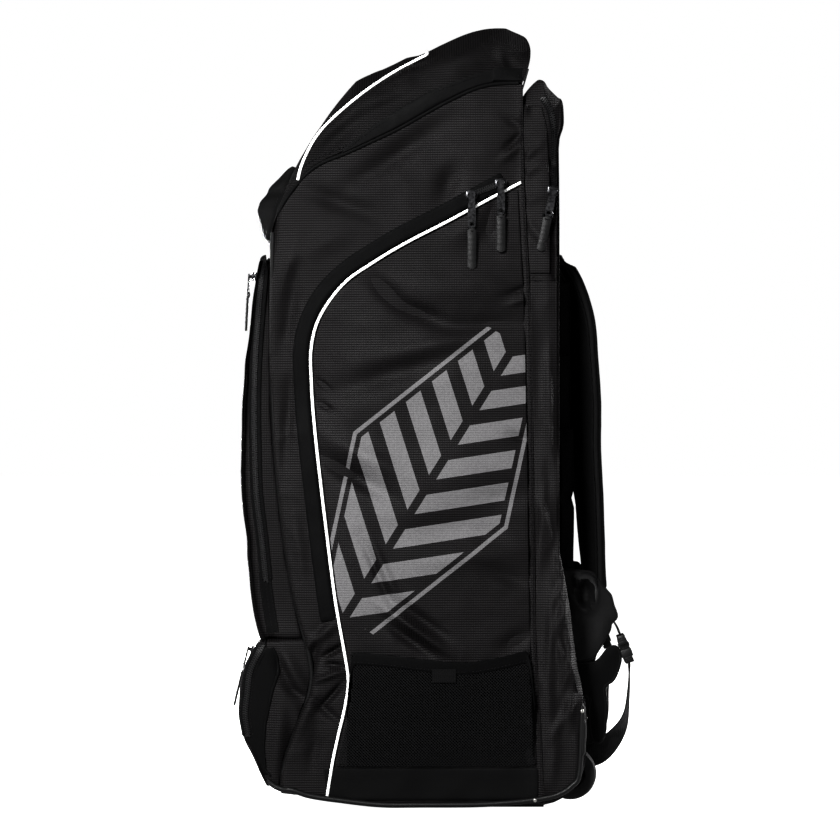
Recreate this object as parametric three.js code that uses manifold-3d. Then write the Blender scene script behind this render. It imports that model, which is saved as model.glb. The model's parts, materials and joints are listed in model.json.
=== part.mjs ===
// Tall wheeled sports duffel bag with shoulder straps, standing upright on its base.
// Millimetres. The front looks along -Y, the straps along +Y, and +Z is up from the floor.
import * as THREE from "three";
import Module from "manifold-3d";

const { lerp, clamp, degToRad, smoothstep } = THREE.MathUtils;

// Cloth and seams
const CLOTH = 2.6; // outer cloth with its backing
const PATCH = 1.8; // single cloth of a sewn-on pocket or band
const SEAM_GAP = 0.5; // room between two sewn pieces
const PLAN_CHAMFER = 0.08; // share of a side that an upright seam rounds off
const BACK_CHAMFER = 0.025; // the same where the sleeve is sewn on

// Main compartment, from the floor to the mouth: front wall, back wall, half width, side bulge
const BODY = [
  { z: 0, front: -152, back: 140, half: 160, crown: 1 },
  { z: 31, front: -160, back: 139, half: 163, crown: 2 },
  { z: 50, front: -157, back: 138, half: 164, crown: 3 },
  { z: 76, front: -148, back: 137, half: 165, crown: 4 },
  { z: 103, front: -138, back: 135.5, half: 165, crown: 5 },
  { z: 129, front: -128, back: 134, half: 166, crown: 6 },
  { z: 154, front: -125, back: 132.5, half: 166, crown: 7 },
  { z: 185, front: -131, back: 130.5, half: 166, crown: 8 },
  { z: 222, front: -142, back: 130, half: 167, crown: 9 },
  { z: 284, front: -154, back: 129, half: 167, crown: 10 },
  { z: 346, front: -162, back: 128.5, half: 167, crown: 11 },
  { z: 441, front: -170, back: 127, half: 167, crown: 11 },
  { z: 562, front: -172, back: 124.5, half: 166, crown: 10 },
  { z: 640, front: -171, back: 121, half: 164, crown: 9 },
  { z: 709, front: -171, back: 117.5, half: 160, crown: 8 },
  { z: 830, front: -171, back: 116, half: 150, crown: 6 },
];
// Levels between the floor (0) and the mouth (1), closer together where the front wall curves
const BODY_LEVELS = [0, 0.03, 0.07, 0.115, 0.16, 0.2, 0.25, 0.3, 0.37, 0.45, 0.55, 0.65, 0.75, 0.85, 0.93, 1];
const FRONT_HOLLOW = { z: 152, reach: 52, clearance: 1.4 }; // inward curve of the front wall
const SIDE_STEPS = 8;
const END_STEPS = 4;

// Slanted mouth of the main compartment, from the front seam to the back
const MOUTH = [
  { y: -171, z: 640 },
  { y: -167, z: 657 },
  { y: -161, z: 672 },
  { y: -153, z: 690 },
  { y: -136, z: 712 },
  { y: -112, z: 726 },
  { y: -68, z: 747 },
  { y: -27, z: 766 },
  { y: 21, z: 793 },
  { y: 62, z: 813 },
  { y: 94, z: 821 },
  { y: 116, z: 820 },
];

// Soft dents (negative) and ridges of the side panels and of the side pockets sewn on them:
// centre, reach along and across, heading
const PANEL_FOLDS = [
  { y: 30, z: 742, along: 60, across: 22, heading: 28, depth: -5 },
  { y: -138, z: 470, along: 70, across: 30, heading: 86, depth: -3 },
];
const POCKET_FOLDS = [
  { y: -15, z: 425, along: 110, across: 36, heading: 20, depth: -6 },
  { y: -8, z: 214, along: 40, across: 15, heading: -49, depth: 6 },
  { y: 70, z: 330, along: 60, across: 26, heading: 8, depth: -4 },
  { y: 75, z: 545, along: 45, across: 20, heading: -12, depth: -4 },
];

// Lid: ridge along the middle, and how far its back leans over the sleeve
const LID_RIDGE = [
  { y: -115, z: 785 },
  { y: -93, z: 808 },
  { y: -63, z: 838 },
  { y: -13, z: 861 },
  { y: 12, z: 869 },
  { y: 57, z: 888 },
  { y: 89, z: 895 },
  { y: 104, z: 894 },
];
const LID_SPINE = { front: -115, back: 95 };
const LID_ROWS = [0, 12, 24, 36, 50, 66, 90];
const LID_FULLNESS = { front: 1.1, side: 3.2, back: 2 };
const LID_OVERHANG = 14;
const LID_GAP = 4.2;
const FLAP = { low: 5, high: 17 };

// Sleeve on the back, for the long gear: its back face, and the puff of its top
const SLEEVE = [
  { z: 124, back: 183 },
  { z: 156, back: 173.5 },
  { z: 180, back: 168 },
  { z: 236, back: 160.5 },
  { z: 268, back: 158.2 },
  { z: 330, back: 158 },
  { z: 760, back: 158 },
  { z: 810, back: 156 },
];
const SLEEVE_LOW = 124;
const SLEEVE_HIGH = 806;
const SLEEVE_SPINE = { low: 200, high: 740 };
const SLEEVE_TOP_PUFF = 18;
const SLEEVE_SIDE_PUFF = 2;

// Front pocket and the shoe pocket below it: their front faces
const FRONT_POCKET = [
  { z: 194, front: -180 },
  { z: 214, front: -188 },
  { z: 236, front: -193 },
  { z: 307, front: -198 },
  { z: 345, front: -203.5 },
  { z: 423, front: -203 },
  { z: 488, front: -201 },
  { z: 538, front: -195 },
  { z: 582, front: -190 },
  { z: 618, front: -183 },
];
const FRONT_POCKET_HALF = 152;
const SHOE_POCKET = [
  { z: 26, front: -172 },
  { z: 33, front: -179 },
  { z: 46, front: -185 },
  { z: 67, front: -195 },
  { z: 88, front: -204 },
  { z: 98, front: -206.5 },
  { z: 117, front: -206 },
  { z: 165, front: -198 },
  { z: 187, front: -181 },
];
const SHOE_POCKET_HALF = 154;
// Share of the outline that is left, and of the depth that is reached, from rim to face
const POCKET_PROFILE = [
  { plan: 1, rise: 0 },
  { plan: 1, rise: 0.55 },
  { plan: 0.985, rise: 0.88 },
  { plan: 0.94, rise: 1 },
  { plan: 0, rise: 1 },
];
const SLEEVE_PROFILE = [
  { plan: 1, rise: 0, puff: 0 },
  { plan: 1, rise: 0.45, puff: 1 },
  { plan: 1, rise: 0.72, puff: 0.6 },
  { plan: 0.985, rise: 0.95, puff: 0 },
  { plan: 0.94, rise: 1, puff: 0 },
  { plan: 0, rise: 1, puff: 0 },
];

// White piping round the side pocket, from the base up to the back seam
const SIDE_PIPING = [
  { y: -104, z: 22 },
  { y: -98, z: 58 },
  { y: -93, z: 81 },
  { y: -86, z: 110 },
  { y: -81.6, z: 136 },
  { y: -81.6, z: 154 },
  { y: -86, z: 180 },
  { y: -96, z: 238 },
  { y: -107, z: 325 },
  { y: -117, z: 411 },
  { y: -122, z: 467 },
  { y: -123.4, z: 521 },
  { y: -120, z: 539 },
  { y: -112, z: 560 },
  { y: -99, z: 579 },
  { y: -82, z: 598 },
  { y: -27, z: 634 },
  { y: 32, z: 665 },
  { y: 98, z: 701 },
  { y: 107, z: 705.5 },
];
const PIPING_R = 2.4;
const CORD_SIDES = 5;
const PIPING_STEPS = 26;
const POCKET_INSET = 4; // from the piping's middle to the pocket's edge
const POCKET_BULGE = 8;
const ZIP_BAND = { low: 214, width: 16 };

// Net pocket low on each side: top edge, and how far it stands off in the middle
const NET_TOP = [
  { y: -84, z: 179 },
  { y: -36, z: 175.5 },
  { y: 0, z: 171.5 },
  { y: 43, z: 168 },
  { y: 69, z: 170 },
  { y: 104, z: 176 },
  { y: 130, z: 182 },
];
const NET_LOW = 47;
const NET_STAND_OFF = 13;
const LABEL = { y: 27, z: 152, length: 27, height: 15 };

// Moulded base: underside of the tray, corner plate behind it, rim round both
const TRAY = [
  { y: -138, z: 14 },
  { y: -124, z: 10.5 },
  { y: -93, z: 6 },
  { y: -62, z: 1.5 },
  { y: -45, z: 0 },
  { y: 140.6, z: 0 },
];
const TRAY_WALL = 3;
const TRAY_HALF = 153;
const WHEEL_BASE = [
  { y: 136, z: 123.2 },
  { y: 139.2, z: 60 },
  { y: 141.2, z: 3.5 },
  { y: 152, z: 6 },
  { y: 162, z: 11 },
  { y: 172, z: 18 },
  { y: 181, z: 29 },
  { y: 186.5, z: 45 },
  { y: 189, z: 65 },
  { y: 189.5, z: 85 },
  { y: 189, z: 105 },
  { y: 187.5, z: 123.2 },
];
const WHEEL_BASE_HALF = 161;
const WHEEL_BASE_WALL = 4;
const RIM = [
  { y: -146, z: 21 },
  { y: -126, z: 14.5 },
  { y: -93, z: 9.5 },
  { y: -45, z: 4.2 },
  { y: 0, z: 4 },
  { y: 69, z: 4.5 },
  { y: 107, z: 7 },
  { y: 138, z: 11 },
  { y: 163, z: 18.5 },
  { y: 177, z: 32 },
  { y: 183, z: 53 },
  { y: 185.5, z: 79 },
  { y: 185, z: 105 },
  { y: 184, z: 118 },
];
const RIM_R = 3.2;
const RIM_X = 166.8;

// Wheels in the two lower back corners
const WHEEL = { x: 128, y: 171.8, z: 36, radius: 30, width: 24, bore: 4.4 };
const STUB_R = 4;
const WELL = { half: 15, radius: 33.5, wall: 3 };

// Back: pads, padded shoulder straps and their fittings
const PADS = [
  { name: "back_pad_upper", low: 516.5, high: 597, rest: 158.6, depth: 14, half: 112 },
  { name: "back_pad_middle", low: 431, high: 513.5, rest: 158.6, depth: 14, half: 112 },
  { name: "back_pad_lower", low: 272, high: 428, rest: 160.7, depth: 16, half: 112 },
];
// Tilt turns a strap's inner edge towards the pads
const STRAP = [
  { y: 164.7, z: 650, tilt: 0 },
  { y: 164.8, z: 630, tilt: 0 },
  { y: 171, z: 617, tilt: 0 },
  { y: 180, z: 600, tilt: 2 },
  { y: 187.5, z: 574, tilt: 6 },
  { y: 191, z: 550, tilt: 10 },
  { y: 192.5, z: 518, tilt: 12 },
  { y: 195, z: 481, tilt: 12 },
  { y: 196.3, z: 452, tilt: 12 },
  { y: 196.1, z: 411, tilt: 12 },
  { y: 198, z: 370, tilt: 12 },
  { y: 200, z: 339, tilt: 11 },
  { y: 202.4, z: 293, tilt: 9 },
  { y: 204.4, z: 262, tilt: 7 },
  { y: 204.8, z: 247, tilt: 7 },
];
const STRAP_X = 82.4;
const STRAP_WIDTH = 58;
const STRAP_THICK = 12;
const WING_X = 112; // inner face of the cloth pieces at the end of each strap
const WING_CLOTH = 2.6;
const WING = [
  { y: 176, z: 166 },
  { y: 168, z: 196 },
  { y: 163, z: 232 },
  { y: 161, z: 255 },
  { y: 161, z: 267 },
  { y: 189, z: 265.5 },
  { y: 200, z: 262 },
  { y: 214, z: 244 },
  { y: 219, z: 238 },
  { y: 222, z: 227 },
  { y: 226, z: 214 },
  { y: 219.5, z: 206 },
  { y: 217, z: 196.5 },
  { y: 204, z: 174.5 },
  { y: 196, z: 165.5 },
];
const TAB = [
  { y: 183.8, z: 126 },
  { y: 175.6, z: 157 },
  { y: 202, z: 161 },
  { y: 217, z: 177 },
  { y: 226.5, z: 178 },
  { y: 230.5, z: 164 },
  { y: 223, z: 142 },
  { y: 212, z: 133 },
  { y: 213.5, z: 112 },
  { y: 213, z: 84 },
  { y: 210, z: 73 },
  { y: 204, z: 69 },
  { y: 198, z: 74 },
  { y: 195.5, z: 88 },
  { y: 194.5, z: 108 },
  { y: 195.5, z: 122 },
];
const BUCKLE = { y: 235.5, z: 177.5, heading: 109, length: 33, width: 30, thick: 9.5, waist: 21 };
const LINK_WEB = [
  { y: 222.8, z: 208.1 },
  { y: 226.6, z: 202 },
  { y: 229.7, z: 194.2 },
];
// The left strap's end hangs closer to the bag: the photo shows background where a mirrored one would be seen
const TUCK = { from: 185, share: 0.7, shift: -11 };
// Loose webbing from the buckle to the base; turn is how far its face has swung to the side, tuck its share of the shift
const HANGING_WEB = [
  { x: 114, y: 240.6, z: 160.8, turn: 0, tuck: 1 },
  { x: 114, y: 240.5, z: 140, turn: 6, tuck: 1 },
  { x: 113, y: 239, z: 118, turn: 10, tuck: 1 },
  { x: 112, y: 236, z: 100, turn: 18, tuck: 0.95 },
  { x: 107, y: 229, z: 83, turn: 40, tuck: 0.73 },
  { x: 102, y: 218, z: 67, turn: 64, tuck: 0.35 },
  { x: 101, y: 206, z: 56, turn: 82, tuck: 0 },
  { x: 101, y: 192.6, z: 52, turn: 90, tuck: 0 },
];
const WEB_WIDTH = 25;
const WEB_THICK = 1.8;

// Handles: a wide padded band across the front of the lid, and a haul loop at the top of the sleeve
const FRONT_HANDLE = [
  { y: -149, z: 735 },
  { y: -157.5, z: 734 },
  { y: -166.5, z: 725 },
  { y: -182.5, z: 708.5 },
  { y: -189, z: 692 },
  { y: -190.5, z: 685 },
  { y: -187.5, z: 672 },
  { y: -184, z: 657 },
  { y: -178.5, z: 650.5 },
];
const FRONT_HANDLE_HALF = 74;
const FRONT_HANDLE_THICK = 8;
const HAUL_LOOP = [
  { x: 46, y: 136, z: 827.4, up: 1, back: 0.3 },
  { x: 46, y: 149, z: 819.6, up: 0.8, back: 0.6 },
  { x: 46, y: 159.6, z: 804, up: 0.4, back: 0.9 },
  { x: 45.5, y: 161.2, z: 788, up: 0, back: 1 },
  { x: 40, y: 161.2, z: 777, up: 0, back: 1 },
  { x: 25, y: 161.2, z: 771.5, up: 0, back: 1 },
  { x: 0, y: 161.2, z: 770, up: 0, back: 1 },
];
const HAUL_LOOP_WIDTH = 24;
const HAUL_LOOP_THICK = 5;

// Zips: coils on the gussets, then sliders with metal tabs and soft pulls
const COIL_R = 2;
const SLIDER = { length: 15, width: 10, height: 6, tabWidth: 9, tabThick: 1.8 };
const PULL = { width: 10, thick: 2.2 };
const SIDE_SLIDERS = [
  { name: "lower", y: 58.5, z: 695, tab: 38, pull: 46 },
  { name: "upper", y: 91.5, z: 708.5, tab: 36, pull: 42 },
];
const SLEEVE_SLIDER = { y: 151, z: 700, tab: 30, pull: 40, lean: -12 };
const FRONT_SLIDER = { x: 128, y: -187, z: 604, tab: 22, pull: 40, lean: -3 };
const SHOE_SLIDER = { x: 128, y: -188.4, z: 176, tab: 24, pull: 42, lean: -13.5 };

const PAINT = {
  ripstop: { color: 0x232225, roughness: 0.85 },
  smooth: { color: 0x18171a, roughness: 0.7 },
  net: { color: 0x151416, roughness: 0.9 },
  padding: { color: 0x1f1e21, roughness: 0.9 },
  webbing: { color: 0x161517, roughness: 0.8 },
  whitePiping: { color: 0xf2f2f0, roughness: 0.5 },
  blackPiping: { color: 0x101012, roughness: 0.5 },
  plastic: { color: 0x131315, roughness: 0.45 },
  tyre: { color: 0x1b1b1c, roughness: 0.6 },
  metal: { color: 0x4a4a4e, roughness: 0.35, metalness: 0.9 },
  pull: { color: 0x202023, roughness: 0.6 },
};

const wasm = await Module();
wasm.setup();
const bag = new THREE.Group();
bag.name = "wheeled_duffel_bag";

/** Adds one named piece to the bag. */
function piece(name, geometry, paint) {
  const mesh = new THREE.Mesh(geometry, new THREE.MeshStandardMaterial({ ...PAINT[paint], name: paint }));
  mesh.name = name;
  bag.add(mesh);
}

/** Smooth reading of one column of a table, held at the table's ends. */
function reading(table, key, column) {
  const keys = table.map((row) => row[key]);
  const curve = new THREE.CubicInterpolant(keys, table.map((row) => row[column]), 1);
  return (at) => curve.evaluate(clamp(at, keys[0], keys.at(-1)))[0];
}

/** Straight reading of one column between the rows of a table. */
function straight(table, key, column) {
  const keys = table.map((row) => row[key]);
  const line = new THREE.LinearInterpolant(keys, table.map((row) => row[column]), 1);
  return (at) => line.evaluate(clamp(at, keys[0], keys.at(-1)))[0];
}

/** Faces over shared corners; a face that has shrunk to a line is left out. */
class Skin {
  constructor() {
    this.corners = [];
    this.faces = [];
    this.known = new Map();
  }

  corner(point) {
    const key = point.toArray().map((value) => Math.round(value * 500)).join();
    if (!this.known.has(key)) {
      this.known.set(key, this.corners.length);
      this.corners.push(point);
    }
    return this.known.get(key);
  }

  face(a, b, c) {
    const [i, j, k] = [this.corner(a), this.corner(b), this.corner(c)];
    if (i !== j && j !== k && k !== i) {
      this.faces.push([i, j, k]);
    }
  }

  /** Joins two rows of points, taken in the same order; turned faces look the other way. */
  band(upper, lower, loop, turned = false) {
    const last = loop ? upper.length : upper.length - 1;
    for (let i = 0; i < last; i += 1) {
      const next = (i + 1) % upper.length;
      const [first, second] = turned ? [lower[next], lower[i]] : [lower[i], lower[next]];
      const [third, fourth] = turned ? [upper[next], lower[next]] : [lower[next], upper[next]];
      this.face(upper[i], first, second);
      this.face(upper[i], third, fourth);
    }
  }

  grid(rows, loop, turned = false) {
    for (let row = 0; row + 1 < rows.length; row += 1) {
      this.band(rows[row], rows[row + 1], loop, turned);
    }
  }

  /** Outward normal of each corner, away from the middle of all corners. */
  normals() {
    const normals = this.corners.map(() => new THREE.Vector3());
    const middle = new THREE.Vector3();
    this.corners.forEach((point) => middle.addScaledVector(point, 1 / this.corners.length));
    for (const face of this.faces) {
      const [a, b, c] = face.map((index) => this.corners[index]);
      const normal = b.clone().sub(a).cross(c.clone().sub(a));
      face.forEach((index) => normals[index].add(normal));
    }
    const outward = this.corners.reduce(
      (sum, point, index) => sum + point.clone().sub(middle).dot(normals[index]),
      0,
    );
    return normals.map((normal) => normal.normalize().multiplyScalar(Math.sign(outward)));
  }

  geometry() {
    const volume = this.faces.reduce((sum, face) => {
      const [a, b, c] = face.map((index) => this.corners[index]);
      return sum + a.dot(b.clone().cross(c));
    }, 0);
    const index = this.faces.flatMap(([a, b, c]) => (volume > 0 ? [a, b, c] : [a, c, b]));
    const geometry = new THREE.BufferGeometry().setFromPoints(this.corners);
    geometry.setIndex(index);
    geometry.computeVertexNormals();
    return geometry;
  }
}

/** Closed wall between two facing grids; a loop's last row may have shrunk to a line or point. */
function wallBetween(outer, inner, loop, shut) {
  const skin = new Skin();
  skin.grid(outer, loop);
  skin.grid(inner, loop, true);
  skin.band(inner[0], outer[0], loop);
  if (!shut) {
    skin.band(outer.at(-1), inner.at(-1), loop);
  }
  if (!loop) {
    skin.band(outer.map((row) => row[0]), inner.map((row) => row[0]), false);
    skin.band(inner.map((row) => row.at(-1)), outer.map((row) => row.at(-1)), false);
  }
  return skin.geometry();
}

/** Hollow cover: a wall of even thickness inside rows that run from an open rim to a shut end. */
function hollow(rows, thickness, riseAxis) {
  const skin = new Skin();
  skin.grid(rows, true);
  const normals = skin.normals();
  rows[0].forEach((point) => {
    const normal = normals[skin.corner(point)];
    normal[riseAxis] = 0;
    normal.normalize();
  });
  const inner = rows.map((row) =>
    row.map((point) => point.clone().addScaledVector(normals[skin.corner(point)], -thickness)),
  );
  return wallBetween(rows, inner, true, true);
}

/** Solid body through a series of loops, with a flat cap at each end. */
function loft(rows) {
  const middle = (row) =>
    row.reduce((sum, point) => sum.addScaledVector(point, 1 / row.length), new THREE.Vector3());
  const cap = (row) => row.map(() => middle(row));
  const skin = new Skin();
  skin.grid([cap(rows[0]), ...rows, cap(rows.at(-1))], true);
  return skin.geometry();
}

/** Corners of a cord's round section. */
function cordSection(radius) {
  const turns = Array.from({ length: CORD_SIDES }, (_, i) => (2 * Math.PI * i) / CORD_SIDES);
  return turns.map((turn) => new THREE.Vector2(radius * Math.cos(turn), radius * Math.sin(turn)));
}

/** Round cord along a curve. */
function cord(curve, radius, steps) {
  const section = new THREE.Shape(cordSection(radius));
  return new THREE.ExtrudeGeometry(section, { extrudePath: curve, steps, bevelEnabled: false });
}

/** Flat outline in the side view, given thickness across the bag. */
function sidePlate(rows, x, thickness) {
  const outline = new THREE.Shape(rows.map(({ y, z }) => new THREE.Vector2(y, z)));
  const plate = new THREE.ExtrudeGeometry(outline, { depth: thickness, bevelEnabled: false });
  return plate.applyMatrix4(new THREE.Matrix4().set(0, 0, 1, x, 1, 0, 0, 0, 0, 1, 0, 0, 0, 0, 0, 1));
}

/** Frames along a run of points, each with the direction that its outer face looks. */
function runFrames(points, outward) {
  const run = new THREE.CatmullRomCurve3(points);
  return points.map((point, index) => {
    const tangent = run.getTangent(index / (points.length - 1));
    const across = new THREE.Vector3().crossVectors(tangent, outward[index]).normalize();
    const face = new THREE.Vector3().crossVectors(across, tangent).normalize();
    return (side, out) => point.clone().addScaledVector(across, side).addScaledVector(face, out);
  });
}

/** Thin flat webbing along a run of points. */
function ribbon(points, outward, width, thickness) {
  const frames = runFrames(points, outward);
  const rows = (out) => frames.map((at) => [at(-width / 2, out), at(width / 2, out)]);
  return wallBetween(rows(thickness / 2), rows(-thickness / 2), false, false);
}

/** Padded strap with rounded edges along a run of points. */
function paddedBand(points, outward, width, thickness) {
  const section = [[-1, -0.5], [-0.9, -1], [0.9, -1], [1, -0.5], [1, 0.5], [0.9, 1], [-0.9, 1], [-1, 0.5]];
  const rows = runFrames(points, outward).map((at) =>
    section.map(([side, out]) => at((side * width) / 2, (out * thickness) / 2)),
  );
  return loft(rows);
}

// Outlines of the main compartment
const front = reading(BODY, "z", "front");
const back = reading(BODY, "z", "back");
const halfWidth = reading(BODY, "z", "half");
const crown = reading(BODY, "z", "crown");
const mouth = reading(MOUTH, "y", "z");
const trayUnder = straight(TRAY, "y", "z");
const sleeveBack = straight(SLEEVE, "z", "back");
const frontPocket = reading(FRONT_POCKET, "z", "front");
const shoePocket = reading(SHOE_POCKET, "z", "front");
const netTop = reading(NET_TOP, "y", "z");
const lidRidge = reading(LID_RIDGE, "y", "z");

/** Loop round a unit square with cut corners: front, right side, back, left side. */
function unitLoop(endSteps, sideSteps, backChamfer = PLAN_CHAMFER) {
  const [near, far] = [1 - PLAN_CHAMFER, 1 - backChamfer];
  const line = (from, to, steps) => Array.from({ length: steps + 1 }, (_, i) => lerp(from, to, i / steps));
  const right = line(-near, far, sideSteps);
  return [
    ...line(-near, near, endSteps).map((across) => ({ across, along: -1 })),
    ...right.map((along) => ({ across: 1, along })),
    ...line(far, -far, endSteps).map((across) => ({ across, along: 1 })),
    ...right.reverse().map((along) => ({ across: -1, along })),
  ];
}

/** How far a table of folds pushes the cloth out at a place in the side view. */
function foldLift(folds, y, z) {
  return folds.reduce((sum, fold) => {
    const turn = degToRad(fold.heading);
    const along = (y - fold.y) * Math.cos(turn) + (z - fold.z) * Math.sin(turn);
    const across = (z - fold.z) * Math.cos(turn) - (y - fold.y) * Math.sin(turn);
    return sum + fold.depth * Math.exp(-((along / fold.along) ** 2) - (across / fold.across) ** 2);
  }, 0);
}

/** Half width of the main compartment at a place in the side view. */
function sideX(y, z) {
  const along = clamp((2 * (y - front(z))) / (back(z) - front(z)) - 1, -1, 1);
  return halfWidth(z) + crown(z) * (1 - along ** 2) + foldLift(PANEL_FOLDS, y, z) * (1 - along ** 8);
}

/** Point of the main compartment, from its floor (up 0) to its mouth (up 1). */
function bodyPoint({ across, along }, up) {
  const share = (along + 1) / 2;
  const floorY = lerp(BODY[0].front, BODY[0].back, share);
  const floor = trayUnder(floorY) + TRAY_WALL + SEAM_GAP + 2 * smoothstep(-floorY, 80, 150);
  const z = lerp(floor, mouth(lerp(MOUTH[0].y, MOUTH.at(-1).y, share)), up);
  const y = lerp(front(z), back(z), share);
  return new THREE.Vector3(across * sideX(y, z), y, z);
}

/** Rows of a cover over an outline: place() sets a flat point and its rise in the bag. */
function coverRows(outline, spine, profile, place) {
  return profile.map((step) =>
    outline.map((rim, index) => place(spine[index].clone().lerp(rim, step.plan), step, rim)),
  );
}

function mainShell() {
  const loop = unitLoop(END_STEPS, SIDE_STEPS, BACK_CHAMFER);
  const rows = [...BODY_LEVELS].reverse().map((up) => loop.map((place) => bodyPoint(place, up)));
  const floor = loop.map(() => bodyPoint({ across: 0, along: 0.2 }, 0));
  return hollow([...rows, floor], CLOTH, "z");
}

/** Point of the lid over one place on its rim; lift runs from the seam (0) to the ridge (90 degrees). */
function lidPoint(place, lift, out = 0) {
  const rim = bodyPoint(place, 1);
  rim.z += LID_GAP;
  const share = (place.along + 1) / 2;
  const spineY = lerp(LID_SPINE.front, LID_SPINE.back, share);
  const forward = lerp(LID_FULLNESS.front, LID_FULLNESS.side, smoothstep(place.along, -1, -0.55));
  const fullness = lerp(forward, LID_FULLNESS.back, smoothstep(place.along, 0.6, 1));
  const turn = degToRad(lift);
  const plan = Math.max(Math.cos(turn), 0) ** (2 / fullness);
  const rise = Math.sin(turn) ** (2 / fullness);
  const lean = LID_OVERHANG * Math.sin(2 * turn) * smoothstep(place.along, 0.5, 1);
  const y = lerp(spineY, rim.y, plan) + lean;
  return new THREE.Vector3(
    rim.x * plan + Math.sign(rim.x) * out * (Math.abs(place.across) === 1 ? 1 : 0),
    y + (place.along === 1 ? out : 0),
    lerp(rim.z, lidRidge(y), rise),
  );
}

/** Direction that the lid faces at a place on it. */
function lidNormal({ across, along }, lift) {
  const step = 0.01;
  const run = lidPoint({ across, along: along + step }, lift).sub(lidPoint({ across, along: along - step }, lift));
  const climb = lidPoint({ across, along }, lift + 1).sub(lidPoint({ across, along }, lift - 1));
  return run.cross(climb).normalize().multiplyScalar(across);
}

function lid() {
  const loop = unitLoop(END_STEPS, SIDE_STEPS, BACK_CHAMFER);
  const rows = LID_ROWS.map((lift) => loop.map((place) => lidPoint(place, lift)));
  return hollow(rows, CLOTH, "z");
}

/** Cover flap of the lid's zip: a low band round the sides and back, lifted clear of the lid. */
function stormFlap() {
  const loop = unitLoop(END_STEPS, SIDE_STEPS, BACK_CHAMFER);
  const right = loop.filter((place) => place.across >= 0 && place.along > -0.35);
  const left = [...right].reverse().map(({ across, along }) => ({ across: -across, along }));
  const run = [...right, ...left];
  const rowsAt = (out) =>
    [0, 0.5, 1].map((share) =>
      run.map((place) => {
        const spread = smoothstep(place.along, -0.4, 1);
        return lidPoint(place, lerp(FLAP.low, FLAP.low + FLAP.high * (0.4 + 0.6 * spread), share), out);
      }),
    );
  return wallBetween(rowsAt(1 + PATCH), rowsAt(1), false, false);
}

/** White piping that runs up one side of the lid, over its top and down the other side. */
function lidPiping() {
  const arch = [
    { along: -0.96, lift: 46 },
    { along: -0.9, lift: 47 },
    { along: -0.75, lift: 47 },
    { along: -0.5, lift: 47 },
    { along: -0.25, lift: 42 },
    { along: 0, lift: 45 },
    { along: 0.19, lift: 58 },
    { along: 0.26, lift: 72 },
  ];
  const side = (across) =>
    arch.map(({ along, lift }) => {
      const point = lidPoint({ across, along }, lift);
      return point.addScaledVector(lidNormal({ across, along }, lift), PIPING_R + 2 * SEAM_GAP);
    });
  const run = [...side(1), ...side(-1).reverse()];
  return cord(new THREE.CatmullRomCurve3(run), PIPING_R, 36);
}

function sleeve() {
  const loop = unitLoop(END_STEPS, 10);
  const outline = loop.map(({ across, along }) => {
    const z = lerp(SLEEVE_LOW, SLEEVE_HIGH, (along + 1) / 2);
    return new THREE.Vector2(across * halfWidth(z), z);
  });
  const spine = loop.map(
    ({ along }) => new THREE.Vector2(0, lerp(SLEEVE_SPINE.low, SLEEVE_SPINE.high, (along + 1) / 2)),
  );
  const rows = coverRows(outline, spine, SLEEVE_PROFILE, (flat, step, rim) => {
    const top = smoothstep(rim.y, SLEEVE_HIGH - 60, SLEEVE_HIGH);
    const near = back(flat.y) + SEAM_GAP;
    return new THREE.Vector3(
      flat.x + Math.sign(flat.x) * SLEEVE_SIDE_PUFF * step.puff,
      lerp(near, sleeveBack(flat.y), step.rise),
      flat.y + SLEEVE_TOP_PUFF * top * step.puff,
    );
  });
  return hollow(rows, CLOTH, "y");
}

/** Extra room over the inward curve of the front wall. */
function hollowRoom(z) {
  return FRONT_HOLLOW.clearance * Math.exp(-(((z - FRONT_HOLLOW.z) / FRONT_HOLLOW.reach) ** 2));
}

/** Place of a pocket on the front wall. */
function onFront(face) {
  return (flat, step) => {
    const wall = front(flat.y) - SEAM_GAP - 0.2 - hollowRoom(flat.y);
    return new THREE.Vector3(flat.x, lerp(wall, face(flat.y), step.rise), flat.y);
  };
}

function frontPocketRows() {
  const [low, high] = [FRONT_POCKET[0].z, FRONT_POCKET.at(-1).z];
  const loop = unitLoop(3, 8);
  const outline = loop.map(
    ({ across, along }) => new THREE.Vector2(across * FRONT_POCKET_HALF, lerp(low, high, (along + 1) / 2)),
  );
  const spine = outline.map(({ y }) => new THREE.Vector2(0, lerp(low + 90, high - 90, (y - low) / (high - low))));
  return coverRows(outline, spine, POCKET_PROFILE, onFront(frontPocket));
}

function shoePocketRows() {
  const [low, high] = [SHOE_POCKET[0].z, SHOE_POCKET.at(-1).z];
  const loop = unitLoop(5, 6);
  const outline = loop.map(
    ({ across, along }) => new THREE.Vector2(across * SHOE_POCKET_HALF, lerp(low, high, (along + 1) / 2)),
  );
  const spine = outline.map(({ x }) => new THREE.Vector2(x * 0.6, 104));
  return coverRows(outline, spine, POCKET_PROFILE, onFront(shoePocket));
}

/** Zip coil on one row of a pocket, up one side, along the top and down the other. */
function gussetCoil(rows, level, low) {
  const skin = new Skin();
  skin.grid(rows, true);
  const normals = skin.normals();
  const run = rows[level].filter((point) => point.z > low);
  const loops = run.map((point, index) => {
    const ahead = run[Math.min(index + 1, run.length - 1)];
    const behind = run[Math.max(index - 1, 0)];
    const out = normals[skin.corner(point)];
    const across = ahead.clone().sub(behind).cross(out).normalize();
    const middle = point.clone().addScaledVector(out, COIL_R + 2 * SEAM_GAP);
    return cordSection(COIL_R).map((spot) =>
      middle.clone().addScaledVector(out, spot.x).addScaledVector(across, spot.y),
    );
  });
  return loft(loops);
}

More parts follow.
